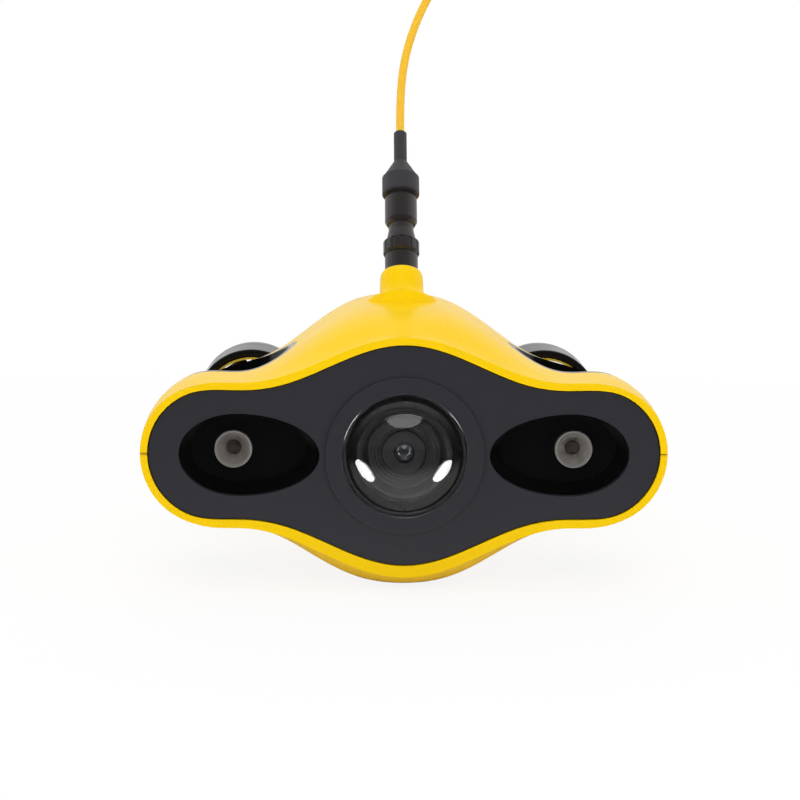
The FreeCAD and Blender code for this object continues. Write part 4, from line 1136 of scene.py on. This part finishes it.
@dataclass
class Tether:
    """The tether, held up by what carries it above the vehicle."""

    diameter: float = 3.2 * MM
    length: float = 0.0881
    start: Place = (0.0, -0.020355, 0.160133)
    lean: float = 34.0
    lead_in: float = 16.0 * MM
    along: int = 24
    around: int = 8
    offsets: Sequence[Place] = (
        (2.0, 15.5, 30.0),
        (8.0, 20.5, 47.0),
        (17.5, 23.5, 63.0),
        (28.5, 25.0, 75.5),
    )

    def route(self) -> list[Vector]:
        """Find the way of the tether from its strain relief to the far plug.

        Returns:
            The points that it follows, in metres.
        """
        start = Vector(self.start)
        turn = math.radians(self.lean)
        axis = Vector((0.0, math.sin(turn), math.cos(turn)))
        points = [start, start + axis * self.lead_in]
        for offset in self.offsets:
            points.append(start + Vector(offset) * MM)
        return points

    def build(self) -> None:
        """Lay the tether as one smooth curve."""
        curve = bpy.data.curves.new("tether_line", "CURVE")
        curve.dimensions = "3D"
        curve.resolution_u = self.along
        curve.bevel_depth = self.diameter / 2
        curve.bevel_resolution = self.around
        curve.use_fill_caps = True
        points = self.route()
        spline = curve.splines.new("NURBS")
        spline.points.add(len(points) - 1)
        for point, at in zip(spline.points, points):
            point.co = (*at, 1.0)
        spline.order_u = 3
        spline.use_endpoint_u = True
        piece = bpy.data.objects.new("tether_line", curve)
        bpy.context.scene.collection.objects.link(piece)
        curve.materials.append(JACKET.material())
        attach(piece, "hull")
        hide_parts("tether")
        LOG.info("tether_line lies along %d points", len(points))


class DryHull:
    """Pressure hull with its cap, glands and what it keeps dry."""

    def build(self) -> None:
        """Dress the CAD pieces."""
        dress(ANODISED, "pressure_hull", "end_cap", "electronics_tray")
        dress(RUBBER, "cap_o_ring")
        dress(SATIN, "cable_glands")
        dress(BRIGHT, "depth_sensor")
        dress(BOARD, "main_board")
        dress(SLEEVE, "battery_pack")


@dataclass(frozen=True)
class Lamp:
    """Soft oval lamp that the camera doesn't see.

    Attributes:
        name: Name of the lamp.
        at: Where it stands, in metres.
        aim: What it points at, in metres.
        size: Width and height, in metres.
        power: Power in watts.
        turn: Angle about its own axis, in degrees.
        diffuse: Whether it lights matt surfaces.
        gloss: Whether it shows in glossy ones.
    """

    name: str
    at: Place
    aim: Place
    size: tuple[float, float]
    power: float
    turn: float = 0.0
    diffuse: bool = True
    gloss: bool = True

    def build(self) -> Piece:
        """Stand the lamp in the scene.

        Returns:
            The lamp.
        """
        data = bpy.data.lights.new(self.name, "AREA")
        data.shape = "ELLIPSE"
        data.size, data.size_y = self.size
        data.energy = self.power
        made = bpy.data.objects.new(self.name, data)
        bpy.context.scene.collection.objects.link(made)
        made.location = self.at
        made.rotation_mode = "QUATERNION"
        roll = Quaternion((0.0, 0.0, 1.0), math.radians(self.turn))
        ahead = Vector(self.aim) - Vector(self.at)
        made.rotation_quaternion = ahead.to_track_quat("-Z", "Y") @ roll
        made.visible_camera = False
        made.visible_diffuse = self.diffuse
        made.visible_glossy = self.gloss
        return made


def card(side: Side) -> Lamp:
    """Give the card beside the bow whose image is the bright arc in the window.

    Args:
        side: Side of the vehicle that it stands on.

    Returns:
        The card.
    """
    out = side.value
    return Lamp(
        f"{side.word}_card", (out * 0.059, -0.169, 0.016), (out * 0.015, -0.121, 0.040),
        (0.016, 0.042), 0.036, turn=-out * 32.0, diffuse=False,
    )


PANELS = (
    Lamp("top_panel", (0.0, -0.15, 1.35), (0.0, -0.02, 0.05), (1.3, 1.0), 4.6, gloss=False),
    Lamp("left_panel", (-1.15, -0.85, 0.30), (0.0, -0.06, 0.05), (0.5, 0.7), 4.0, gloss=False),
    Lamp("right_panel", (1.15, -0.85, 0.30), (0.0, -0.06, 0.05), (0.5, 0.7), 4.0, gloss=False),
    Lamp("rear_panel", (0.0, 1.1, 0.8), (0.0, 0.0, 0.08), (1.4, 0.6), 4.0, gloss=False),
    Lamp("front_fill", (0.0, -1.2, 0.9), (0.0, -0.06, 0.05), (1.0, 0.8), 6.0, gloss=False),
)


@dataclass
class Studio:
    """Pale floor, soft lights, white surroundings and the camera."""

    azimuth: float = -1.354
    elevation: float = 8.178
    roll: float = 0.327
    distance: float = 0.7987
    target: Place = (-0.0018, -0.1185, 0.0696)
    lens: float = 102.5
    sensor: float = 36.0
    clip: tuple[float, float] = (0.01, 100.0)
    floor_size: float = 12.0
    dim: float = 0.10
    glow: float = 0.70
    dim_from: float = -0.55
    bright_from: float = 0.25
    shadow: float = 0.12
    shadow_span: tuple[float, float] = (0.16, 0.55)
    dark_span: tuple[float, float] = (-0.26, -0.14)
    pale: Rgb = (0.93, 0.93, 0.93)
    dark: Rgb = (0.04, 0.04, 0.04)

    def build(self) -> None:
        """Build the surroundings."""
        scene = bpy.context.scene
        scene.view_settings.view_transform = "Standard"
        self.camera(scene)
        self.world(scene)
        self.floor()
        for panel in PANELS:
            panel.build()
        shown = bpy.data.collections.new("lit_by_cards")
        shown.objects.link(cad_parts["camera_window"])
        for side in Side:
            card(side).build().light_linking.receiver_collection = shown

    def camera(self, scene: bpy.types.Scene) -> None:
        """Put the camera at its place and make it the scene's.

        Args:
            scene: The scene.
        """
        turn, lift = math.radians(self.azimuth), math.radians(self.elevation)
        level = math.cos(lift)
        back = Vector((math.sin(turn) * level, -math.cos(turn) * level, math.sin(lift)))
        lens = bpy.data.cameras.new("camera")
        lens.lens = self.lens
        lens.sensor_width = self.sensor
        lens.clip_start, lens.clip_end = self.clip
        eye = bpy.data.objects.new("camera", lens)
        scene.collection.objects.link(eye)
        eye.location = Vector(self.target) + back * self.distance
        eye.rotation_mode = "QUATERNION"
        tilt = Quaternion((0.0, 0.0, 1.0), math.radians(self.roll))
        eye.rotation_quaternion = (-back).to_track_quat("-Z", "Y") @ tilt
        scene.camera = eye

    def world(self, scene: bpy.types.Scene) -> None:
        """Make surroundings that the camera sees as white.

        As a light they are bright behind the vehicle and dim before its bow.

        Args:
            scene: The scene.
        """
        world = bpy.data.worlds.new("studio")
        scene.world = world
        world.use_nodes = True
        world.node_tree.nodes.clear()
        sheet = Sheet(world.node_tree)
        rays = sheet.node("ShaderNodeLightPath")
        seen = rays.outputs["Is Camera Ray"]
        aim = sheet.node("ShaderNodeTexCoord").outputs["Generated"]
        ahead = sheet.node("ShaderNodeSeparateXYZ", {0: aim}).outputs["Y"]
        share = sheet.between(ahead, self.dim_from, self.bright_from)
        glow = sheet.math("MULTIPLY_ADD", share, self.glow)
        sheet.feed(glow.node.inputs[2], self.dim)
        soft = sheet.node("ShaderNodeBackground", {"Color": WHITE, "Strength": glow})
        white = sheet.node("ShaderNodeBackground", {"Color": WHITE, "Strength": 1.0})
        self.finish(sheet, seen, soft, white, "ShaderNodeOutputWorld")

    @staticmethod
    def finish(
        sheet: Sheet, share: Socket, first: bpy.types.Node, second: bpy.types.Node, output: str
    ) -> None:
        """Mix two shaders and send them to the tree's output.

        Args:
            sheet: The tree.
            share: Share of the second shader.
            first: First shader.
            second: Second shader.
            output: Kind of the output node.
        """
        values = {0: share, 1: first.outputs[0], 2: second.outputs[0]}
        both = sheet.node("ShaderNodeMixShader", values)
        target = sheet.node(output)
        sheet.feed(target.inputs["Surface"], both.outputs[0])

    def floor(self) -> None:
        """Lay a pale floor that keeps the shadow near the vehicle and is white beyond."""
        piece = Bench.start("plane", "studio_floor", size=self.floor_size)
        made = bpy.data.materials.new("studio_floor")
        made.use_nodes = True
        made.node_tree.nodes.clear()
        sheet = Sheet(made.node_tree)
        place = sheet.node("ShaderNodeTexCoord").outputs["Object"]
        reach = sheet.node("ShaderNodeVectorMath", {0: place}, operation="LENGTH").outputs["Value"]
        far = sheet.between(reach, *self.shadow_span)
        rays = sheet.node("ShaderNodeLightPath")
        bright = sheet.math("MAXIMUM", far, 1.0 - self.shadow)
        seen = sheet.math("MULTIPLY", bright, rays.outputs["Is Camera Ray"])
        ahead = sheet.node("ShaderNodeSeparateXYZ", {0: place}).outputs["Y"]
        before = sheet.math("SUBTRACT", 1.0, sheet.between(ahead, *self.dark_span))
        dark = sheet.math("MULTIPLY", before, rays.outputs["Is Glossy Ray"])
        colour = sheet.mix(dark, self.pale, self.dark)
        pale = sheet.node("ShaderNodeBsdfDiffuse", {"Color": colour})
        white = sheet.node("ShaderNodeEmission", {"Color": WHITE, "Strength": 1.0})
        self.finish(sheet, seen, pale, white, "ShaderNodeOutputMaterial")
        piece.data.materials.append(made)


def main() -> None:
    """Build every sub-assembly in order."""
    logging.basicConfig(level=logging.INFO, format="%(name)s: %(message)s")
    Studio().build()
    Tether().build()
    BodyShells().build()
    for side in Side:
        LightPod(side).build()
    CameraPort().build()
    thrusters = [Thruster(place, Flow.UP) for place in ("left", "right", "tail")]
    thrusters += [Thruster(place, Flow.AHEAD) for place in ("left", "right")]
    for thruster in thrusters:
        thruster.build()
    HubScrews(thrusters).build()
    Connector().build()
    DryHull().build()


if __name__ == "__main__":
    main()
